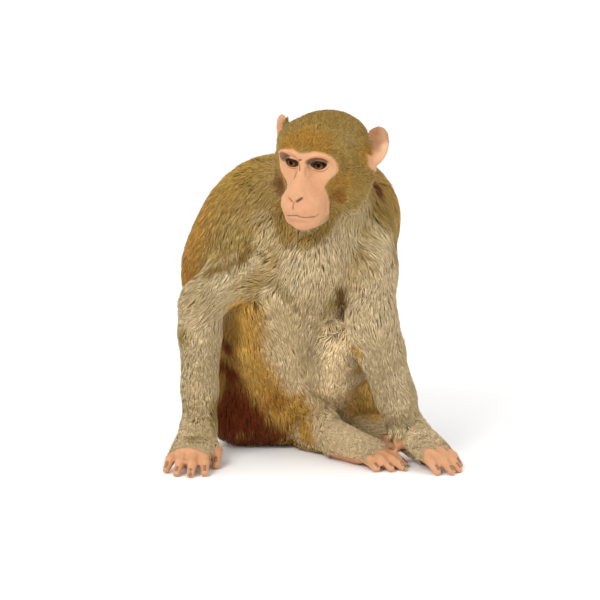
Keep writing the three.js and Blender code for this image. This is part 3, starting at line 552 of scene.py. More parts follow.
# Each eye looks out between two lids. They leave the skin in a shallow hollow, roll over the eye and end in a
# thin dark rim that touches it. Lengths are outwards, up and forward from the middle of the eye.
EYE_RADIUS = 9.4
EYE_TURN = math.radians(14)  # how far each eye's opening faces outwards
OPENING_PLACE = {"right": (-1.5, -0.2), "left": (-2.1, 0.7)}
OPENING_HALF_WIDTH = 9.2
OPENING_UP = 3.9
OPENING_DOWN = 4.5
OPENING_TILT = math.radians(4)  # the outer corner is the higher one
HOLLOW_PLACE = (-0.6, 0.6)
HOLLOW_HALF = (14.0, 11.0)
HOLLOW_DEPTH = 6.0
CORNER_DEPTH = 6.3
LID_THICKNESS = 1.0
ROUND_STEPS = 96
TEAR_FILM = 0.12  # the rim's gap over the eye
RIM_STEPS = [-0.2, -0.1, 0.0]
RIM_ROWS = [(0.7, -0.7), (0.9, -0.35), (1.0, TEAR_FILM)]  # share of the opening, and height over the eye
LID_STEPS = [0.03, 0.07, 0.12, 0.18, 0.25, 0.32, 0.38, 0.42, 0.46, 0.52, 0.6, 0.7, 0.8, 0.9, 1.0]


def eye_axes(side):
    """The outward, upward and forward directions of an eye's opening."""
    out = 1 if side == "left" else -1
    ahead = math.cos(EYE_TURN) * HEAD_AXES[0] + out * math.sin(EYE_TURN) * HEAD_AXES[1]
    outwards = out * math.cos(EYE_TURN) * HEAD_AXES[1] - math.sin(EYE_TURN) * HEAD_AXES[0]
    return np.array([outwards, HEAD_AXES[2], ahead])


def over_eye(x, y, radius):
    """How far forward a lid lies that rests on the eye, or off the eye at its corners."""
    on_ball = np.sqrt(np.maximum(radius**2 - x**2 - y**2, 0)) - CORNER_DEPTH
    return CORNER_DEPTH + (on_ball + np.sqrt(on_ball**2 + 1)) / 2


def crest(step, middle, reach):
    """1 at one step across the lid, falling to 0 beside it."""
    return math.exp(-(((step - middle) / reach) ** 2))


def lids(side):
    """The lids of one eye as rings of points, from inside the rim out to the skin, and how dark each is."""
    middle = middle_of("eye_" + side)
    axes = eye_axes(side)
    turn = np.arange(ROUND_STEPS) * 2 * math.pi / ROUND_STEPS
    bend = np.sin(turn) * np.abs(np.sin(turn)) ** 0.35
    x = OPENING_HALF_WIDTH * np.cos(turn)
    y = np.where(bend > 0, OPENING_UP, OPENING_DOWN) * bend
    tilted = [math.cos(OPENING_TILT), math.sin(OPENING_TILT)]
    x, y = tilted[0] * x - tilted[1] * y, tilted[1] * x + tilted[0] * y
    place_x, place_y = OPENING_PLACE[side]
    edge_x = HOLLOW_PLACE[0] + HOLLOW_HALF[0] * np.cos(turn)
    edge_y = HOLLOW_PLACE[1] + HOLLOW_HALF[1] * np.sin(turn)

    def skin_ahead(across, above):
        """How far forward the skin is at these spots."""
        found = []
        for spot in middle + np.column_stack([across, above, np.full(len(across), 30.0)]) @ axes:
            hit = skin_surface.ray_cast(spot, -axes[2])[0]
            found.append((np.array(hit) - middle) @ axes[2])
        return np.array(found)

    edge_ahead = skin_ahead(edge_x, edge_y)
    upper = np.maximum(np.sin(turn), 0) ** 0.7
    lower = np.maximum(-np.sin(turn), 0) ** 0.7
    rows = []
    for scale, above_eye in RIM_ROWS:
        row_x, row_y = place_x + scale * x, place_y + scale * y
        rows.append(np.column_stack([row_x, row_y, over_eye(row_x, row_y, EYE_RADIUS + above_eye)]))
    for step in LID_STEPS:
        row_x = (place_x + x) * (1 - step) + edge_x * step
        row_y = (place_y + y) * (1 - step) + edge_y * step
        lid = over_eye(row_x, row_y, EYE_RADIUS + TEAR_FILM + LID_THICKNESS * soft_step(step, 0, 0.13))
        ground = np.maximum(skin_ahead(row_x, row_y), edge_ahead - 1.5)
        share = soft_step(step, 0.15, 1)
        ahead = lid * (1 - share) + ground * share
        ahead += upper * (0.45 * crest(step, 0.6, 0.12) - 0.8 * crest(step, 0.42, 0.06))
        ahead += lower * (0.3 * crest(step, 0.28, 0.1) - 0.45 * crest(step, 0.46, 0.06))
        rows.append(np.column_stack([row_x, row_y, ahead]))
    steps = np.array(RIM_STEPS + LID_STEPS)
    # The lid's dark margin, widened on the upper lid as painted shade, and painted shade in the fold under
    # the eye.
    rim = np.outer(steps, np.ones(ROUND_STEPS)) - 0.06 * upper
    dark = (1 - soft_step(rim, 0.05, 0.12)).ravel()
    fold = np.exp(-(((steps[:, None] - 0.46) / 0.04) ** 2)) * lower * 0.5
    dark = np.maximum(dark, fold.ravel())
    return middle + np.concatenate(rows) @ axes, dark


def grid_faces(rows, columns):
    """Triangles between the points of a grid whose rows close into rings."""
    row, column = np.meshgrid(np.arange(rows - 1), np.arange(columns), indexing="ij")
    a, b = (row * columns + column).ravel(), (row * columns + (column + 1) % columns).ravel()
    halves = ([a, b, b + columns], [a, b + columns, a + columns])
    return np.concatenate([np.column_stack(half) for half in halves])


skin_surface = bvhtree.BVHTree.FromPolygons(skin_points.tolist(), skin_faces.tolist())
lid_grids = {side: lids(side) for side in ("right", "left")}
for side in lid_grids:
    axes = eye_axes(side)
    x, y, ahead = ((skin_points - middle_of("eye_" + side)) @ axes.T).T
    rim = np.hypot((x - HOLLOW_PLACE[0]) / HOLLOW_HALF[0], (y - HOLLOW_PLACE[1]) / HOLLOW_HALF[1])
    sunk = HOLLOW_DEPTH * (1 - np.minimum(rim, 1) ** 4) * (ahead > -2)
    skin_points -= sunk[:, None] * axes[2]
for side, (lid_points, lid_dark) in lid_grids.items():
    faces = grid_faces(len(RIM_STEPS + LID_STEPS), ROUND_STEPS)
    if side == "left":
        faces = faces[:, ::-1]
    skin_faces = np.concatenate([skin_faces, faces + len(skin_points)])
    skin_points = np.concatenate([skin_points, lid_points])
    skin_dark = np.concatenate([skin_dark, lid_dark])
skin_normals = normals_of(skin_points, skin_faces)
skin_shares = bone_shares(skin_points)

# Markings of hide and coat, some of them painted shade and painted light: a colour that differs from its
# surroundings, and the spots that it covers, each with its place and its reach.
MARKINGS_AND_PAINTED_LIGHT = [
    # right side of the back
    ((170, 128, 60), [(-110, 56, 240, 36)]),
    # russet edge of the ribs
    ((158, 112, 50), [(-120, 52, 205, 22)]),
    # right of the nape
    ((162, 130, 64), [(-66, 33, 311, 30)]),
    ((158, 130, 76), [(-46, -12, 300, 24)]),
    ((172, 147, 104), [(-42, -29, 287, 14), (-37, -44, 276, 9)]),
    # olive shoulder
    ((162, 136, 82), [(-70, -27, 268, 26)]),
    ((150, 122, 68), [(-55, -58, 246, 15)]),
    # front of the shoulders
    ((184, 162, 120), [(-35, -46, 275, 14), (-44, -57, 263, 15), (-53, -59, 248, 14)]),
    ((188, 167, 126), [(55, -34, 276, 16), (73, -19, 286, 14), (86, -22, 266, 16)]),
    # elbow
    ((172, 151, 113), [(-109, -28, 196, 26)]),
    # outer edge of the forearm
    ((154, 132, 84), [(-127, -20, 150, 12)]),
    ((186, 166, 130), [(-110, -33, 130, 16)]),
    # inner side above the wrist
    ((150, 128, 76), [(-95, 2, 58, 20)]),
    # back of the hand
    ((168, 147, 108), [(-116, -25, 31, 12), (-107, -20, 37, 11)]),
    ((191, 169, 131), [(-114, -11, 62, 16), (-112, -18, 86, 15)]),
    # chest
    ((192, 171, 135), [(0, -50, 230, 34), (33, -48, 258, 18), (11, -51, 262, 13), (55, -33, 260, 14)]),
    # right upper arm
    ((192, 172, 137), [(-66, -54, 240, 20), (-86, -49, 221, 18)]),
    # olive above it
    ((154, 128, 76), [
        (-102, 3, 227, 8), (-92, -27, 240, 10), (-79, -37, 250, 11), (-66, -46, 260, 11),
        (-55, -47, 270, 10),
    ]),
    # painted shade: a dark line between them, under the shoulder
    ((130, 100, 46), [
        (-111, -21, 215, 5), (-103, -29, 222, 6), (-96, -36, 228, 6), (-88, -43, 233, 6),
        (-79, -48, 237, 7), (-70, -51, 242, 7), (-63, -54, 248, 8), (-56, -56, 255, 8),
    ]),
    # dark russet on the right flank and haunch between the arm and the leg, down to the floor: painted shade
    # over a russet coat
    ((104, 46, 16), [
        (-79, 26, 126, 10), (-87, 50, 101, 10), (-81, 45, 61, 10), (-86, 49, 49, 10),
        (-75, 42, 48, 10), (-63, 37, 47, 10), (-51, 35, 46, 10), (-40, 33, 46, 9), (-76, 39, 92, 15),
        (-68, 37, 61, 22), (-51, 36, 41, 22), (-33, 42, 26, 16), (-79, 46, 27, 18), (-86, 49, 33, 10),
        (-72, 43, 30, 10), (-58, 42, 27, 10), (-45, 43, 24, 10), (-32, 46, 20, 9), (-22, 47, 18, 7),
    ]),
    ((106, 52, 22), [(-81, 55, 11, 15), (-61, 54, 9, 15), (-48, 52, 9, 15), (-35, 55, 8, 13)]),
    # outer side of the right leg: golden coat, brightened with painted light where the arm shades it
    ((195, 151, 75), [(-66, -26, 187, 15), (-61, -18, 161, 17), (-60, -4, 134, 15), (-45, 0, 107, 20)]),
    ((207, 163, 85), [(-55, 18, 94, 14), (-62, 3, 121, 12)]),
    ((193, 148, 73), [(-33, 21, 79, 24), (-13, 31, 53, 26)]),
    ((180, 138, 66), [(3, 30, 31, 15), (9, 25, 21, 11), (0, 20, 54, 15)]),
    ((162, 112, 48), [(-28, 25, 65, 13)]),
    # right knee and shin
    ((204, 181, 140), [(-29, -39, 193, 19), (-23, -27, 165, 20), (-16, -16, 137, 20), (0, -1, 105, 15)]),
    ((180, 138, 68), [(-3, 11, 70, 9), (4, 16, 57, 9)]),
    ((194, 170, 126), [(16, 14, 75, 9)]),
    # painted highlight along the edge of the right knee
    ((212, 190, 152), [(-33, -45, 208, 8), (-23, -45, 199, 7), (-13, -44, 189, 7), (-3, -40, 178, 6)]),
    # painted shade in the folds between the knees and the belly
    ((160, 139, 98), [
        (-28, -52, 218, 8), (-21, -51, 210, 8), (-14, -50, 201, 7), (-4, -46, 188, 6),
        (3, -41, 178, 5),
    ]),
    # painted shade in the olive hollow by the left arm
    ((158, 137, 88), [(29, -35, 179, 9), (36, -41, 193, 9)]),
    # painted shade in its darkest middle
    ((108, 78, 34), [(47, -33, 190, 9), (45, -41, 205, 8)]),
    # left knee and shin, brightened with painted light where they lie in shade
    ((215, 190, 149), [(38, -33, 160, 17), (36, -38, 144, 17)]),
    ((224, 199, 158), [(37, -29, 126, 17)]),
    ((232, 207, 166), [
        (37, -18, 112, 17), (38, -6, 98, 17), (39, 8, 84, 16), (40, 22, 70, 14), (41, 36, 58, 12),
        (42, 50, 46, 10),
    ]),
    # painted shade along the top of the left knee
    ((160, 139, 98), [(18, -30, 164, 5), (23, -27, 154, 5), (32, -23, 165, 5)]),
    ((206, 184, 144), [(26, 22, 65, 9), (31, 26, 47, 9)]),
    # golden strip beside it
    ((180, 138, 66), [(64, -40, 137, 9), (65, 10, 106, 10)]),
    # left haunch
    ((220, 180, 108), [(57, 43, 69, 10), (57, 61, 46, 11)]),
    ((206, 166, 92), [(68, 63, 72, 14), (71, 66, 53, 20)]),
    ((190, 150, 80), [(79, 71, 39, 14)]),
    # left shoulder and arm
    ((195, 175, 140), [(91, -23, 252, 20), (97, -34, 226, 20)]),
    ((187, 166, 131), [(84, -53, 197, 20), (95, -52, 172, 20)]),
    ((193, 173, 139), [(110, -35, 102, 18), (112, -26, 71, 13)]),
    # outer edge of the left forearm
    ((160, 128, 70), [(121, 4, 100, 13)]),
    (CROWN, [(22, -56, 392, 30)]),
    # forehead
    ((164, 122, 54), [(-11, -64, 378, 14), (5, -68, 384, 14), (22, -78, 381, 15)]),
    ((158, 132, 78), [(55, -63, 381, 17)]),
    # before the left ear
    ((164, 124, 58), [(70, -54, 362, 12)]),
    # cheek
    ((162, 122, 56), [(44, -76, 333, 13)]),
    # dark spot on the cheek
    ((140, 94, 42), [(40, -73, 321, 8), (44, -70, 314, 6.5)]),
    # dark spot behind the jaw
    ((90, 42, 18), [(85, 13, 307, 12)]),
    # shade at the right cheek
    ((112, 74, 38), [(-23, -35, 323, 13)]),
    # beside and under the chin
    ((150, 119, 63), [
        (-23, -32, 302, 9), (-22, -35, 291, 9), (-19, -42, 278, 9), (-10, -47, 269, 10),
        (4, -51, 265, 10), (19, -50, 268, 10), (30, -50, 278, 10), (26, -61, 284, 10),
        (32, -66, 294, 11), (36, -67, 303, 10), (38, -60, 294, 11),
    ]),
    ((152, 124, 68), [(48, -62, 301, 9), (59, -61, 308, 9), (68, -56, 313, 8)]),
    ((150, 122, 68), [(88, -1, 284, 18)]),
]


def tinted(colour, tint, cover):
    """A colour with this share of a daylight colour laid over it."""
    return colour * (1 - cover) + linear(tint) * cover


def coat_colour(points, shares):
    """The coat's colour over each point."""
    colour = shares @ BONE_COLOUR
    uneven = 1 + 0.3 * ripple(points, 17)
    for tint, spots in MARKINGS_AND_PAINTED_LIGHT:
        for x, y, z, reach in spots:
            distance = np.linalg.norm(points - place(x, y, z), axis=1) / (reach * uneven)
            colour = tinted(colour, tint, np.exp(-(distance**4))[:, None])
    return colour


PEACH = (236, 178, 134)
SKIN_BRIGHTNESS = np.array([0.66, 0.62, 0.57])  # in the studio's light
COVERED_BRIGHTNESS = 0.9
LID_BROWN = (126, 90, 66)
NEARLY_BLACK = (44, 26, 16)
# Tints of the bare skin, among them painted shade and painted light on the left ear: middle, reach, colour
# and strength.
SKIN_TINTS_AND_PAINTED_LIGHT = [
    (in_head(70, 0, -36), 16, (238, 176, 138), 0.5),  # lips and the end of the nose
    (in_head(45, 30, 2), 12, (240, 186, 144), 0.5),  # cheekbones
    (in_head(45, -30, 2), 12, (228, 168, 124), 0.5),
    (in_head(-12, 62, 30), 15, (204, 158, 118), 0.9),  # left ear
    (in_head(-9, 56, 38), 9, (170, 118, 80), 0.95),  # its top
    # painted shade in the left ear's hollow, and painted light on its outer rim
    (in_head(-12, 56, 22), 9, (186, 134, 96), 0.9),  # its hollow
    (in_head(-18, 69, 16), 8, (254, 208, 174), 0.95),  # its outer rim
    (in_head(-15, 64, 4), 7, (254, 208, 174), 0.95),
    (in_head(-8, 57, 2), 9, (246, 190, 148), 0.7),  # its lobe
    (in_head(-6, -58, 30), 14, (226, 168, 130), 0.6),  # the right ear
]
# The brown of each upper lid, partly the lid's own grey-brown and partly painted shade under the brow: middle
# outwards and up from the eye's middle, and half its width and height.
LID_MARKS = {"right": (8.2, 4.6, 8.0, 6.0), "left": (-3.6, 4.6, 12.2, 5.2)}
LID_MARK_STRENGTH = 0.9


def hide_colour(points, normals, shares):
    """The hide's colour: peach where it is bare, and the coat's colour, a little darker, under the coat."""
    skin_tint = np.repeat(linear(PEACH)[None], len(points), axis=0)
    for middle, reach, tint, strength in SKIN_TINTS_AND_PAINTED_LIGHT:
        cover = strength * np.exp(-((np.linalg.norm(points - middle, axis=1) / reach) ** 4))[:, None]
        skin_tint = tinted(skin_tint, tint, cover)
    # Each upper lid's brown: its own colour and painted shade under the brow.
    for side, (out, above, half_width, half_height) in LID_MARKS.items():
        x, y, ahead = ((points - middle_of("eye_" + side)) @ eye_axes(side).T).T
        away = np.hypot((x - out) / half_width, (y - above) / half_height)
        cover = (LID_MARK_STRENGTH * soft_step(-away, -1.15, -0.85) * (ahead > 0))[:, None]
        skin_tint = tinted(skin_tint, LID_BROWN, cover)
    skin_tint = skin_tint * (1 + 0.035 * ripple(points, 23) + 0.02 * ripple(points, 6))[:, None]
    bare = bareness(points, normals, shares)[:, None]
    return skin_tint * SKIN_BRIGHTNESS * bare + COVERED_BRIGHTNESS * coat_colour(points, shares) * (1 - bare)


def add_colour(piece, colours):
    layer = piece.data.color_attributes.new("marking", "FLOAT_COLOR", "POINT")
    opaque = np.column_stack([colours, np.ones(len(colours))])
    layer.data.foreach_set("color", opaque.astype(np.float32).ravel())


class Finish:
    """A material that takes its colour from the piece's own marking, and further nodes for its grain."""

    def __init__(self, name):
        self.material = bpy.data.materials.new(name)
        self.material.use_nodes = True
        self.tree = self.material.node_tree
        self.shader = self.tree.nodes["Principled BSDF"]
        self.place = self.node("ShaderNodeTexCoord").outputs["Object"]
        marking = self.node("ShaderNodeAttribute")
        marking.attribute_name = "marking"
        self.colour = marking.outputs["Color"]

    def node(self, kind, **inputs):
        made = self.tree.nodes.new(kind)
        for name, value in inputs.items():
            made.inputs[name.replace("_", " ")].default_value = value
        return made

    def link(self, output, socket):
        self.tree.links.new(output, socket)

    def give(self, **sockets):
        """Sets sockets of the shader: each to a value that is the same all over, or to a node's output."""
        for name, value in sockets.items():
            socket = self.shader.inputs[name.replace("_", " ")]
            if isinstance(value, bpy.types.NodeSocket):
                self.link(value, socket)
            else:
                socket.default_value = value

    def noise(self, scale, detail=2.0, rough=0.5):
        """An uneven value from 0 to 1, with this many waves to the metre."""
        made = self.node("ShaderNodeTexNoise", Scale=scale, Detail=detail, Roughness=rough)
        self.link(self.place, made.inputs["Vector"])
        return made.outputs["Fac"]

    def ranged(self, value, low, high):
        made = self.node("ShaderNodeMapRange", To_Min=low, To_Max=high)
        self.link(value, made.inputs["Value"])
        return made.outputs["Result"]

    def dulled(self, colour, value):
        """The colour with its brightness times this value."""
        made = self.node("ShaderNodeHueSaturation")
        self.link(colour, made.inputs["Color"])
        self.link(value, made.inputs["Value"])
        return made.outputs["Color"]

    def bumped(self, height, distance, strength=1.0, under=None):
        made = self.node("ShaderNodeBump", Distance=distance, Strength=strength)
        self.link(height, made.inputs["Height"])
        if under:
            self.link(under, made.inputs["Normal"])
        return made.outputs["Normal"]


# Skin: fine leathery cells in a soft unevenness, a little light passing through it.
bare_skin = Finish("bare_skin")
cells = bare_skin.node("ShaderNodeTexVoronoi", Scale=620.0)
cells.feature = "DISTANCE_TO_EDGE"
bare_skin.link(bare_skin.place, cells.inputs["Vector"])
cell_depth = bare_skin.ranged(cells.outputs["Distance"], 0.0, 4.0)
uneven = bare_skin.bumped(bare_skin.noise(260.0, 3.0), 0.0009, 0.45)
pores = bare_skin.bumped(cell_depth, 0.00025, 0.35, uneven)
blotches = bare_skin.ranged(bare_skin.noise(120.0, 4.0, 0.6), 0.86, 1.12)
bare_skin.give(
    Normal=pores, Base_Color=bare_skin.dulled(bare_skin.colour, blotches),
    Roughness=bare_skin.ranged(bare_skin.noise(400.0), 0.42, 0.68), Specular_IOR_Level=0.35,
    Subsurface_Weight=0.12, Subsurface_Radius=(0.004, 0.0016, 0.0009), Subsurface_Scale=0.6,
)

skin_colour = hide_colour(skin_points, skin_normals, skin_shares)
# Dark lid margins, widened on the upper lids as painted shade, and painted shade in the grooves and the folds
# under the eyes.
skin_colour = tinted(skin_colour, NEARLY_BLACK, skin_dark[:, None])
skin_points[:, 2] = np.maximum(skin_points[:, 2], 0)  # nothing reaches under the floor
skin = make_piece("skin", skin_points, skin_faces)
add_colour(skin, skin_colour)
skin.data.materials.append(bare_skin.material)
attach(skin, "root")
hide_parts(*FLESH)

# ---------------------------------------------------------------- the eyes
# Each eye is a wet ball with a clear bulge over an amber iris: a dark pupil, fine spokes, a dark outer ring,
# and the dark brown white of a macaque's eye round it. Both look the way the face does.
IRIS_ANGLE = 34
PUPIL_ANGLE = 12
BULGE_RADIUS = 6.2
BULGE_PLACE = 4.2  # how far the middle of the bulge's own ball is in front of the eye's middle
GAZE_OUT = math.radians(3)
GAZE_UP = {"right": -0.05, "left": 0.05}
CLEAR_EDGE = 1  # the clear bulge ends before this angle, in radians
SPOKES = 40
EYE_COLUMNS = 120
EYE_ANGLES = np.radians(np.concatenate([np.arange(0.5, 50, 0.75), np.arange(50, 180, 6), [179.5]]))
EYE_COLOURS = [
    (0, (7, 4, 3)), (PUPIL_ANGLE - 1, (7, 4, 3)), (PUPIL_ANGLE + 2, (96, 60, 24)), (22, (136, 90, 38)),
    (28, (112, 72, 30)), (IRIS_ANGLE - 3, (62, 35, 14)), (IRIS_ANGLE + 1, (40, 20, 9)), (44, (50, 25, 12)),
    (70, (60, 34, 19)), (180, (90, 60, 45)),
]


def eyeball(side):
    """One eye's points, its triangles and its points' colours."""
    out = 1 if side == "left" else -1
    ahead = unit(HEAD_AXES[0] + out * math.tan(GAZE_OUT) * HEAD_AXES[1] + GAZE_UP[side] * HEAD_AXES[2])
    across = unit(np.cross(HEAD_AXES[2], ahead))
    above = np.cross(ahead, across)
    turn = np.arange(EYE_COLUMNS) * 2 * math.pi / EYE_COLUMNS
    angle, turn = np.meshgrid(EYE_ANGLES, turn, indexing="ij")
    bulge = BULGE_PLACE * np.cos(angle)
    bulge += np.sqrt(np.maximum(BULGE_RADIUS**2 - (BULGE_PLACE * np.sin(angle)) ** 2, 0))
    radius = np.maximum(EYE_RADIUS, np.where(angle < CLEAR_EDGE, bulge, 0))
    ways = (
        np.cos(angle)[..., None] * ahead
        + (np.sin(angle) * np.cos(turn))[..., None] * across
        + (np.sin(angle) * np.sin(turn))[..., None] * above
    )
    points = middle_of("eye_" + side) + radius[..., None] * ways
    spokes = np.random.default_rng(3).normal(0, 1, (3, SPOKES))
    spoke = sum(spokes[0, n] * np.cos((n + 6) * turn + spokes[1, n] * 6) for n in range(SPOKES)) / 6
    degrees = np.degrees(angle)
    stops = [stop for stop, _ in EYE_COLOURS]
    wobble = degrees + 0.5 * spoke * ((degrees > PUPIL_ANGLE) & (degrees < IRIS_ANGLE + 4))
    tints = np.array([linear(tint) for _, tint in EYE_COLOURS])
    colours = np.stack([np.interp(wobble, stops, tints[:, band]) for band in range(3)], axis=-1)
    in_iris = ((degrees > PUPIL_ANGLE) & (degrees < IRIS_ANGLE))[..., None]
    colours *= 1 + 0.16 * np.clip(spoke, -2, 2)[..., None] * in_iris
    raised = ((points - middle_of("eye_" + side)) @ HEAD_AXES[2])[..., None]
    colours *= 1 - 0.88 * soft_step(raised, -2.2, 2.6)  # the upper lid's shade
    faces = grid_faces(len(EYE_ANGLES), EYE_COLUMNS)[:, ::-1]
    last = len(EYE_ANGLES) * EYE_COLUMNS
    own = np.arange(EYE_COLUMNS)
    after = np.roll(own, -1)
    rear_ring = last - EYE_COLUMNS
    front = np.column_stack([np.full(EYE_COLUMNS, last), own, after])
    rear = np.column_stack([np.full(EYE_COLUMNS, last + 1), rear_ring + after, rear_ring + own])
    all_points = np.concatenate([points.reshape(-1, 3), points[[0, -1]].mean(1)])
    all_colours = np.concatenate([colours.reshape(-1, 3), colours[[0, -1], 0]])
    return all_points, np.concatenate([faces, front, rear]), all_colours


wet_eye = Finish("wet_eye")
flecks = wet_eye.ranged(wet_eye.noise(1800.0, 3.0), 0.8, 1.2)
wet_eye.give(
    Base_Color=wet_eye.dulled(wet_eye.colour, flecks),
    Roughness=wet_eye.ranged(wet_eye.noise(300.0), 0.05, 0.12), Specular_IOR_Level=0.0,
    Coat_Weight=0.18, Coat_IOR=1.38, Coat_Roughness=0.03,
)
for side in ("right", "left"):
    points, faces, colours = eyeball(side)
    ball = make_piece("eyeball_" + side, points, faces)
    add_colour(ball, colours)
    ball.data.materials.append(wet_eye.material)
    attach(ball, "root")
    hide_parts("eye_" + side)

# ---------------------------------------------------------------- the nails
# Every finger and toe ends in a narrow, arched, dark brown nail of horn. It grows out of the skin on the tip
# of the digit, so each one here is a thin arched plate that is set on the skin's surface.
# Each digit: its length, its turn outwards in degrees, and its knuckle's place to the side and forward.
FINGERS = [(33, 11, 16, 46), (39, 3, 5.5, 50), (37, -6, -5.5, 48), (30, -16, -16, 43)]
TOES = [(38, 7, 13, 84), (44, 2, 4.5, 86), (42, -4, -4.5, 83), (37, -10, -13, 77)]
THUMB_TIP = ((24, 24), (40, 27))  # the left thumb is tucked in, and its nail isn't seen
BIG_TOE_TIP = ((60, 17), (80, 23))
TIP_RADIUS = {"hand": 4.3, "foot": 4.6}
ABOVE_DIGITS = 40  # the nails' places are found from this height down
LEAST_LEVEL = 4.0  # a nail's height where no skin is under it
NAIL_LENGTH = 5.2
NAIL_HALF_WIDTH = 1.8
NAIL_THICKNESS = 0.7
NAIL_ARCH = 0.45
NAIL_GAP = 0.1  # between the skin and the nail's edges
NAIL_COLOUR = (142, 98, 70)
NAIL_ALONG = np.linspace(-0.55, 0.45, 8)
NAIL_ACROSS = np.linspace(-1, 1, 9)
NAIL_COUNT = len(NAIL_ALONG) * len(NAIL_ACROSS)
grid = np.arange(NAIL_COUNT).reshape(len(NAIL_ALONG), -1)
NAIL_QUADS = np.stack([grid[:-1, :-1], grid[1:, :-1], grid[1:, 1:], grid[:-1, 1:]], axis=-1).reshape(-1, 4)
NAIL_BORDER = np.concatenate([grid[0], grid[1:, -1], grid[-1, -2::-1], grid[-2:0:-1, 0]])
skin_surface = bvhtree.BVHTree.FromPolygons(skin_points.tolist(), skin_faces.tolist())


def digit_tips(part, side):
    """The tip and the way of each digit of a hand or foot, on the floor plan."""
    way, joint = (HAND_WAY, "wrist_") if part == "hand" else (FOOT_WAY, "ankle_")
    ahead = way[side]
    medial = -1 if side == "left" else 1
    beside = medial * np.cross([0, 0, 1], ahead)
    origin = JOINTS[joint + side] * [1, 1, 0]
    splay = 0.5 if part == "hand" and side == "left" else 1  # the left fingers lie closer together
    tips = []
    for digit_length, spread, offset, reach in FINGERS if part == "hand" else TOES:
        angle = math.radians(spread * splay)
        heading = math.cos(angle) * ahead + math.sin(angle) * beside
        knuckle = origin + reach * ahead + offset * beside
        tips.append((knuckle + (digit_length - TIP_RADIUS[part]) * heading, heading))
    if part == "foot" or side == "right":
        spots = THUMB_TIP if part == "hand" else BIG_TOE_TIP
        last, end = (origin + spot[0] * ahead + spot[1] * beside for spot in spots)
        tips.append((end, unit(end - last)))
    return tips


nail_points, nail_faces = [], []
for part in ("hand", "foot"):
    for side in ("right", "left"):
        for tip, heading in digit_tips(part, side):
            beside = np.cross([0, 0, 1], heading)
            top, bottom = [], []
            for along in NAIL_ALONG:
                taper = 1 - 0.35 * max(0, along / NAIL_ALONG[-1]) ** 3
                for across in NAIL_ACROSS:
                    spot = tip + along * NAIL_LENGTH * heading + across * NAIL_HALF_WIDTH * taper * beside
                    hit = skin_surface.ray_cast(spot + [0, 0, ABOVE_DIGITS - spot[2]], (0, 0, -1))[0]
                    level = hit[2] if hit else LEAST_LEVEL
                    top.append([spot[0], spot[1], level + NAIL_GAP + NAIL_ARCH * (1 - across**2)])
                    bottom.append([spot[0], spot[1], level - NAIL_THICKNESS])
            start = sum(len(points) for points in nail_points)
            nail_points += [top, bottom]
            quads = start + NAIL_QUADS
            border = start + NAIL_BORDER
            after = np.roll(border, -1)
            edge = np.column_stack([border, after, after + NAIL_COUNT, border + NAIL_COUNT])
            nail_faces += [quads, quads[:, ::-1] + NAIL_COUNT, edge]
nail_points = np.concatenate(nail_points)
nails = make_piece("nails", nail_points, np.concatenate(nail_faces))
add_colour(nails, np.repeat(linear(NAIL_COLOUR)[None], len(nail_points), axis=0))
horn = Finish("horn")
horn.give(
    Base_Color=horn.dulled(horn.colour, horn.ranged(horn.noise(500.0, 4.0), 0.7, 1.25)),
    Roughness=horn.ranged(horn.noise(700.0), 0.28, 0.45), Normal=horn.bumped(horn.noise(900.0), 0.0002, 0.3),
)
nails.data.materials.append(horn.material)
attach(nails, "root")

# ---------------------------------------------------------------- the coat
# The coat is many thin pointed locks of hair. Each is rooted in the hide, rises, and lies down along the body
# towards the end of its bone. Locks side by side lean together, and their tips are lighter than their roots:
# painted shade in the depth of the coat.
LOCKS = 145_000
ROOT_DEPTH = 0.5
RIDGE = 0.35  # a lock's thickness, as a share of its width
MIDDLE_PLACE = 0.45  # a lock's middle: its share of the length, of the height over the hide and of the width
MIDDLE_HEIGHT = 0.8
MIDDLE_WIDTH = 0.84
CLUMP = 8  # millimetres between the middles of neighbouring clumps
CLUMP_PULL = 0.4
FOLD_LIMIT = 2.5  # a lock whose tip is further than this over its place would stand out over a fold
LOCK_FLOOR = 0.05
TIP_FLOOR = 0.3
LAY_ROUNDS, LAY_STEP = 2, 7
PRESSED = 0.2  # the share of locks that are left where the animal rests on the floor
COAT_PIECES = {
    "coat_head": ["head"],
    "coat_crown": [],  # the head above the brow
    "coat_neck": ["nape", "throat", "shoulder_right", "shoulder_left"],
    "coat_back": ["withers"],
    "coat_loins": ["loins"],
    "coat_rump": ["rump", "flank_left"],
    "coat_tail": [f"tail_{number}" for number in range(5)],
    "coat_chest": ["chest", "belly"],
    "coat_arm_right": ["upper_arm_right", "forearm_right", "hand_right"],
    "coat_arm_left": ["upper_arm_left", "forearm_left", "hand_left"],
    "coat_leg_right": ["thigh_right", "shin_right", "foot_right"],
    "coat_leg_left": ["thigh_left", "shin_left", "foot_left"],
}
CROWN_LEVEL = 22
draw = np.random.default_rng(11)
hide_tree = kdtree.KDTree(len(full_points))
for number, spot in enumerate(full_points):
    hide_tree.insert(spot, number)
hide_tree.balance()

# The hair lies along each bone, and down the shin on the raised thighs.
BONE_LIE = unit(BONE_TO - BONE_FROM)
for side in ("right", "left"):
    BONE_LIE[BONE_NAMES.index("thigh_" + side)] = BONE_LIE[BONE_NAMES.index("shin_" + side)]


def lie_of(points, normals, shares):
    """The way the hair lies at each point: along the bones, and on the head away from the face."""
    ways = shares @ BONE_LIE
    head_share = shares[:, [0]]
    away = unit(points - in_head(80, 0, 8))
    away[:, 2] -= 0.3 * (points[:, 2] < head_origin[2])
    ways = ways * (1 - head_share) + away * head_share
    ways = unit(ways - normals * (ways * normals).sum(1, keepdims=True))
    turn = 0.25 * ripple(points, 34) + draw.normal(0, 0.13, len(points))
    sideways = np.cross(normals, ways)
    return unit(ways * np.cos(turn)[:, None] + sideways * np.sin(turn)[:, None])


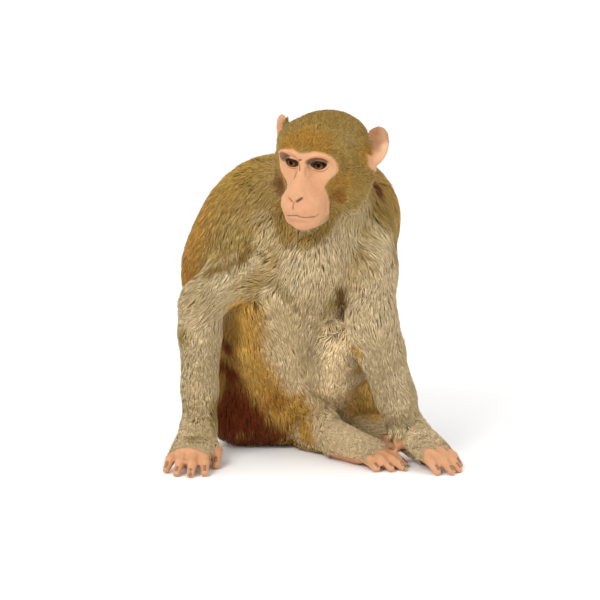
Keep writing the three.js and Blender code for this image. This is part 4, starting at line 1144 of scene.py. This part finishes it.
def laid(spots, height):
    """Moves spots to this height over the hide, and tells how far off the hide they end."""
    moved = spots
    for _ in range(LAY_ROUNDS):
        nearest = np.array([hide_tree.find(spot)[1] for spot in moved])
        above = ((moved - full_points[nearest]) * full_normals[nearest]).sum(1)
        moved = moved + full_normals[nearest] * np.clip(height - above, -LAY_STEP, LAY_STEP)[:, None]
    moved[:, 2] = np.maximum(moved[:, 2], TIP_FLOOR)
    return moved, np.linalg.norm(moved - full_points[nearest], axis=1)


def gathered(spots, roots):
    """Draws the spots of each clump together."""
    bend = np.column_stack([ripple(roots, 29), ripple(roots + 50, 31), np.zeros(len(roots))])
    cells = np.floor((roots + 3 * bend) / CLUMP)
    number = np.unique(cells, axis=0, return_inverse=True)[1].reshape(-1)
    count = np.bincount(number)
    middle = np.column_stack([np.bincount(number, spots[:, axis]) / count for axis in range(3)])
    return spots + CLUMP_PULL * (middle[number] - spots)


def unwrapped(faces):
    """Lays out these triangles of the hide flat and gives the place of each of their corners on the map."""
    numbers, own = np.unique(faces, return_inverse=True)
    patch = make_piece("patch", skin_points[numbers], own.reshape(-1, 3))
    patch.data.uv_layers.new(name="OFBake")
    bpy.context.view_layer.objects.active = patch
    patch.select_set(True)
    bpy.ops.object.mode_set(mode="EDIT")
    bpy.ops.mesh.select_all(action="SELECT")
    bpy.ops.uv.smart_project(angle_limit=math.radians(66), island_margin=0.005)
    bpy.ops.object.mode_set(mode="OBJECT")
    layout = np.empty(len(faces) * 6, np.float32)
    patch.data.uv_layers[0].uv.foreach_get("vector", layout)
    bpy.data.objects.remove(patch)
    return layout.reshape(-1, 3, 2)


# Where the locks are rooted: evenly, and the closer the shorter and thinner they are.
corners = skin_points[skin_faces]
facing = np.cross(corners[:, 1] - corners[:, 0], corners[:, 2] - corners[:, 0])
face_normals = unit(facing)
face_middles = corners.mean(1)
face_shares = bone_shares(face_middles)
face_hair = face_shares @ BONE_COAT
face_cover = 1 - bareness(face_middles, face_normals, face_shares)
resting = (face_normals[:, 2] < -0.6) & (face_middles[:, 2] < 12)
face_cover = face_cover * np.where(resting, PRESSED, 1)
crowd = np.linalg.norm(facing, axis=1) * face_cover / (face_hair[:, 1] * face_hair[:, 2])
ladder = np.cumsum(crowd) / crowd.sum()
home = np.searchsorted(ladder, (np.arange(LOCKS) + draw.random(LOCKS)) / LOCKS)
home = np.minimum(home, len(skin_faces) - 1)
mix = draw.random((LOCKS, 2))
mix[mix.sum(1) > 1] = 1 - mix[mix.sum(1) > 1]
mix = np.column_stack([1 - mix.sum(1), mix])
roots = (corners[home] * mix[:, :, None]).sum(1)
root_normals = unit((skin_normals[skin_faces[home]] * mix[:, :, None]).sum(1))
root_shares = bone_shares(roots)
depth, length, width = (root_shares @ BONE_COAT).T

lie = lie_of(roots, root_normals, root_shares)
grown = hair_share(roots, root_shares)
length = length * draw.uniform(0.75, 1.2, LOCKS) * grown
width = width * draw.uniform(0.8, 1.3, LOCKS) * (0.45 + 0.55 * grown)
height = depth * draw.uniform(0.85, 1.25, LOCKS) * grown * (1 - 0.25 * root_shares[:, 0])
middles, _ = laid(roots + lie * (MIDDLE_PLACE * length)[:, None], MIDDLE_HEIGHT * height)
tips, off_hide = laid(gathered(roots + lie * length[:, None], roots), height)
lost = off_hide > height + FOLD_LIMIT
across = np.cross(root_normals, lie)


def ring(centres, half_width):
    """The three points of a lock's section: two at its sides and one on its ridge."""
    side = across * half_width[:, None]
    return [centres - side, centres + side, centres + root_normals * (2 * RIDGE * half_width)[:, None]]


lock_points = np.stack(
    ring(roots - root_normals * ROOT_DEPTH, width / 2)
    + ring(middles, width / 2 * MIDDLE_WIDTH)
    + [tips],
    axis=1,
)
lock_points[..., 2] = np.maximum(lock_points[..., 2], LOCK_FLOOR)
LOCK_FACES = np.array([
    [0, 3, 1], [1, 3, 4], [1, 4, 2], [2, 4, 5], [2, 5, 0], [0, 5, 3],
    [3, 6, 4], [4, 6, 5], [5, 6, 3], [0, 1, 2],
])
# Painted shade in the depth of the coat: each lock darkens towards its root.
SHADE = np.array([0.78, 0.78, 0.82, 1.0, 1.0, 1.03, 1.12])  # darker at the root, lighter at the tip
COAT_BRIGHTNESS = np.array([1.24, 1.25, 1.22])  # the hair shades itself, and this makes up for it
lock_colour = COAT_BRIGHTNESS * coat_colour(middles, root_shares) * draw.normal(1, 0.08, (LOCKS, 1))
PATCH_HALF = 0.0012  # half a lock's patch on the map
PATCH_SPOTS = PATCH_HALF * np.array([[-1, -1], [1, -1], [0, -1], [-1, 0], [1, 0], [0, 0], [0, 1]])

coat = Finish("coat")
strands = coat.ranged(coat.noise(1500.0, 3.0, 0.7), 0.72, 1.28)
coat.give(
    Base_Color=coat.dulled(coat.colour, strands), Roughness=coat.ranged(coat.noise(60.0), 0.62, 0.8),
    Normal=coat.bumped(coat.noise(2600.0), 0.0002, 0.4), Specular_IOR_Level=0.12,
)
piece_of = np.zeros(LOCKS, int)
for number, bones in enumerate(COAT_PIECES.values()):
    piece_of[np.isin(root_shares.argmax(1), [BONE_NAMES.index(bone) for bone in bones])] = number
piece_of[(piece_of == 0) & (in_face(roots)[:, 2] > CROWN_LEVEL)] = 1
for number, name in enumerate(COAT_PIECES):
    own = np.flatnonzero((piece_of == number) & ~lost)
    points = lock_points[own].reshape(-1, 3)
    faces = (LOCK_FACES[None] + 7 * np.arange(len(own))[:, None, None]).reshape(-1, 3)
    piece = make_piece(name, points, faces)
    add_colour(piece, (lock_colour[own][:, None] * SHADE[None, :, None]).reshape(-1, 3))
    used, again = np.unique(home[own], return_inverse=True)
    layout = unwrapped(skin_faces[used])
    root_spots = (layout[again.reshape(-1)] * mix[own][:, :, None]).sum(1)
    spots = root_spots[:, None] + PATCH_SPOTS[None]
    piece.data.uv_layers.new(name="OFBake")
    piece.data.uv_layers[0].uv.foreach_set("vector", spots[:, LOCK_FACES].astype(np.float32).ravel())
    piece.data.materials.append(coat.material)
    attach(piece, "root")

# ---------------------------------------------------------------- the floor, the light and the camera
# A pale studio floor, soft light from above and the left, and a long lens a little above the animal.
FLOOR_CORNERS = np.array([(-60, -60), (60, -60), (60, 60), (-60, 60)]) * MM
FLOOR_LEVEL = -0.2  # just under the animal, in millimetres
CAMERA_ELEVATION = 14
CAMERA_DISTANCE = 20.0
VIEW_WIDTH = 0.66  # metres across the view at the animal
VIEW_HEIGHT = 0.1782 / math.cos(math.radians(CAMERA_ELEVATION))  # of the spot in the view's middle
SENSOR = 36
LIT_SPOT = Vector((0, 0, 0.2))

floor = make_piece("floor", np.column_stack([FLOOR_CORNERS, [FLOOR_LEVEL] * 4]), np.array([[0, 1, 2, 3]]))
floor_material = bpy.data.materials.new("studio_floor")
floor_material.use_nodes = True
floor_shader = floor_material.node_tree.nodes["Principled BSDF"]
floor_shader.inputs["Base Color"].default_value = (0.95, 0.95, 0.95, 1)
floor_shader.inputs["Roughness"].default_value = 0.9
floor.data.materials.append(floor_material)

world = bpy.data.worlds.new("studio")
world.use_nodes = True
background = world.node_tree.nodes["Background"]
background.inputs["Color"].default_value = (1, 1, 1, 1)
background.inputs["Strength"].default_value = 1.05
bpy.context.scene.world = world


def soft_lamp(name, spot, size, power):
    """A square soft light that shines on the animal's middle. Its place and size are in metres."""
    lamp = bpy.data.lights.new(name, "AREA")
    lamp.size = size
    lamp.energy = power
    holder = bpy.data.objects.new(name, lamp)
    holder.location = spot
    holder.rotation_euler = (LIT_SPOT - Vector(spot)).to_track_quat("-Z", "Y").to_euler()
    bpy.context.scene.collection.objects.link(holder)


soft_lamp("key", (-1.3, -1.9, 2.2), 1.2, 45)
soft_lamp("fill", (2.0, -1.6, 1.2), 1.6, 8)

tilt = math.radians(CAMERA_ELEVATION)
aim = Vector((shift[0] / MM, shift[1] / MM, VIEW_HEIGHT))
camera = bpy.data.cameras.new("camera")
camera.sensor_width = SENSOR
camera.lens = SENSOR * CAMERA_DISTANCE / VIEW_WIDTH
camera_holder = bpy.data.objects.new("camera", camera)
camera_holder.location = aim + CAMERA_DISTANCE * Vector((0, -math.cos(tilt), math.sin(tilt)))
camera_holder.rotation_euler = (math.pi / 2 - tilt, 0, 0)
bpy.context.scene.collection.objects.link(camera_holder)
bpy.context.scene.camera = camera_holder
bpy.context.scene.view_settings.view_transform = "Standard"
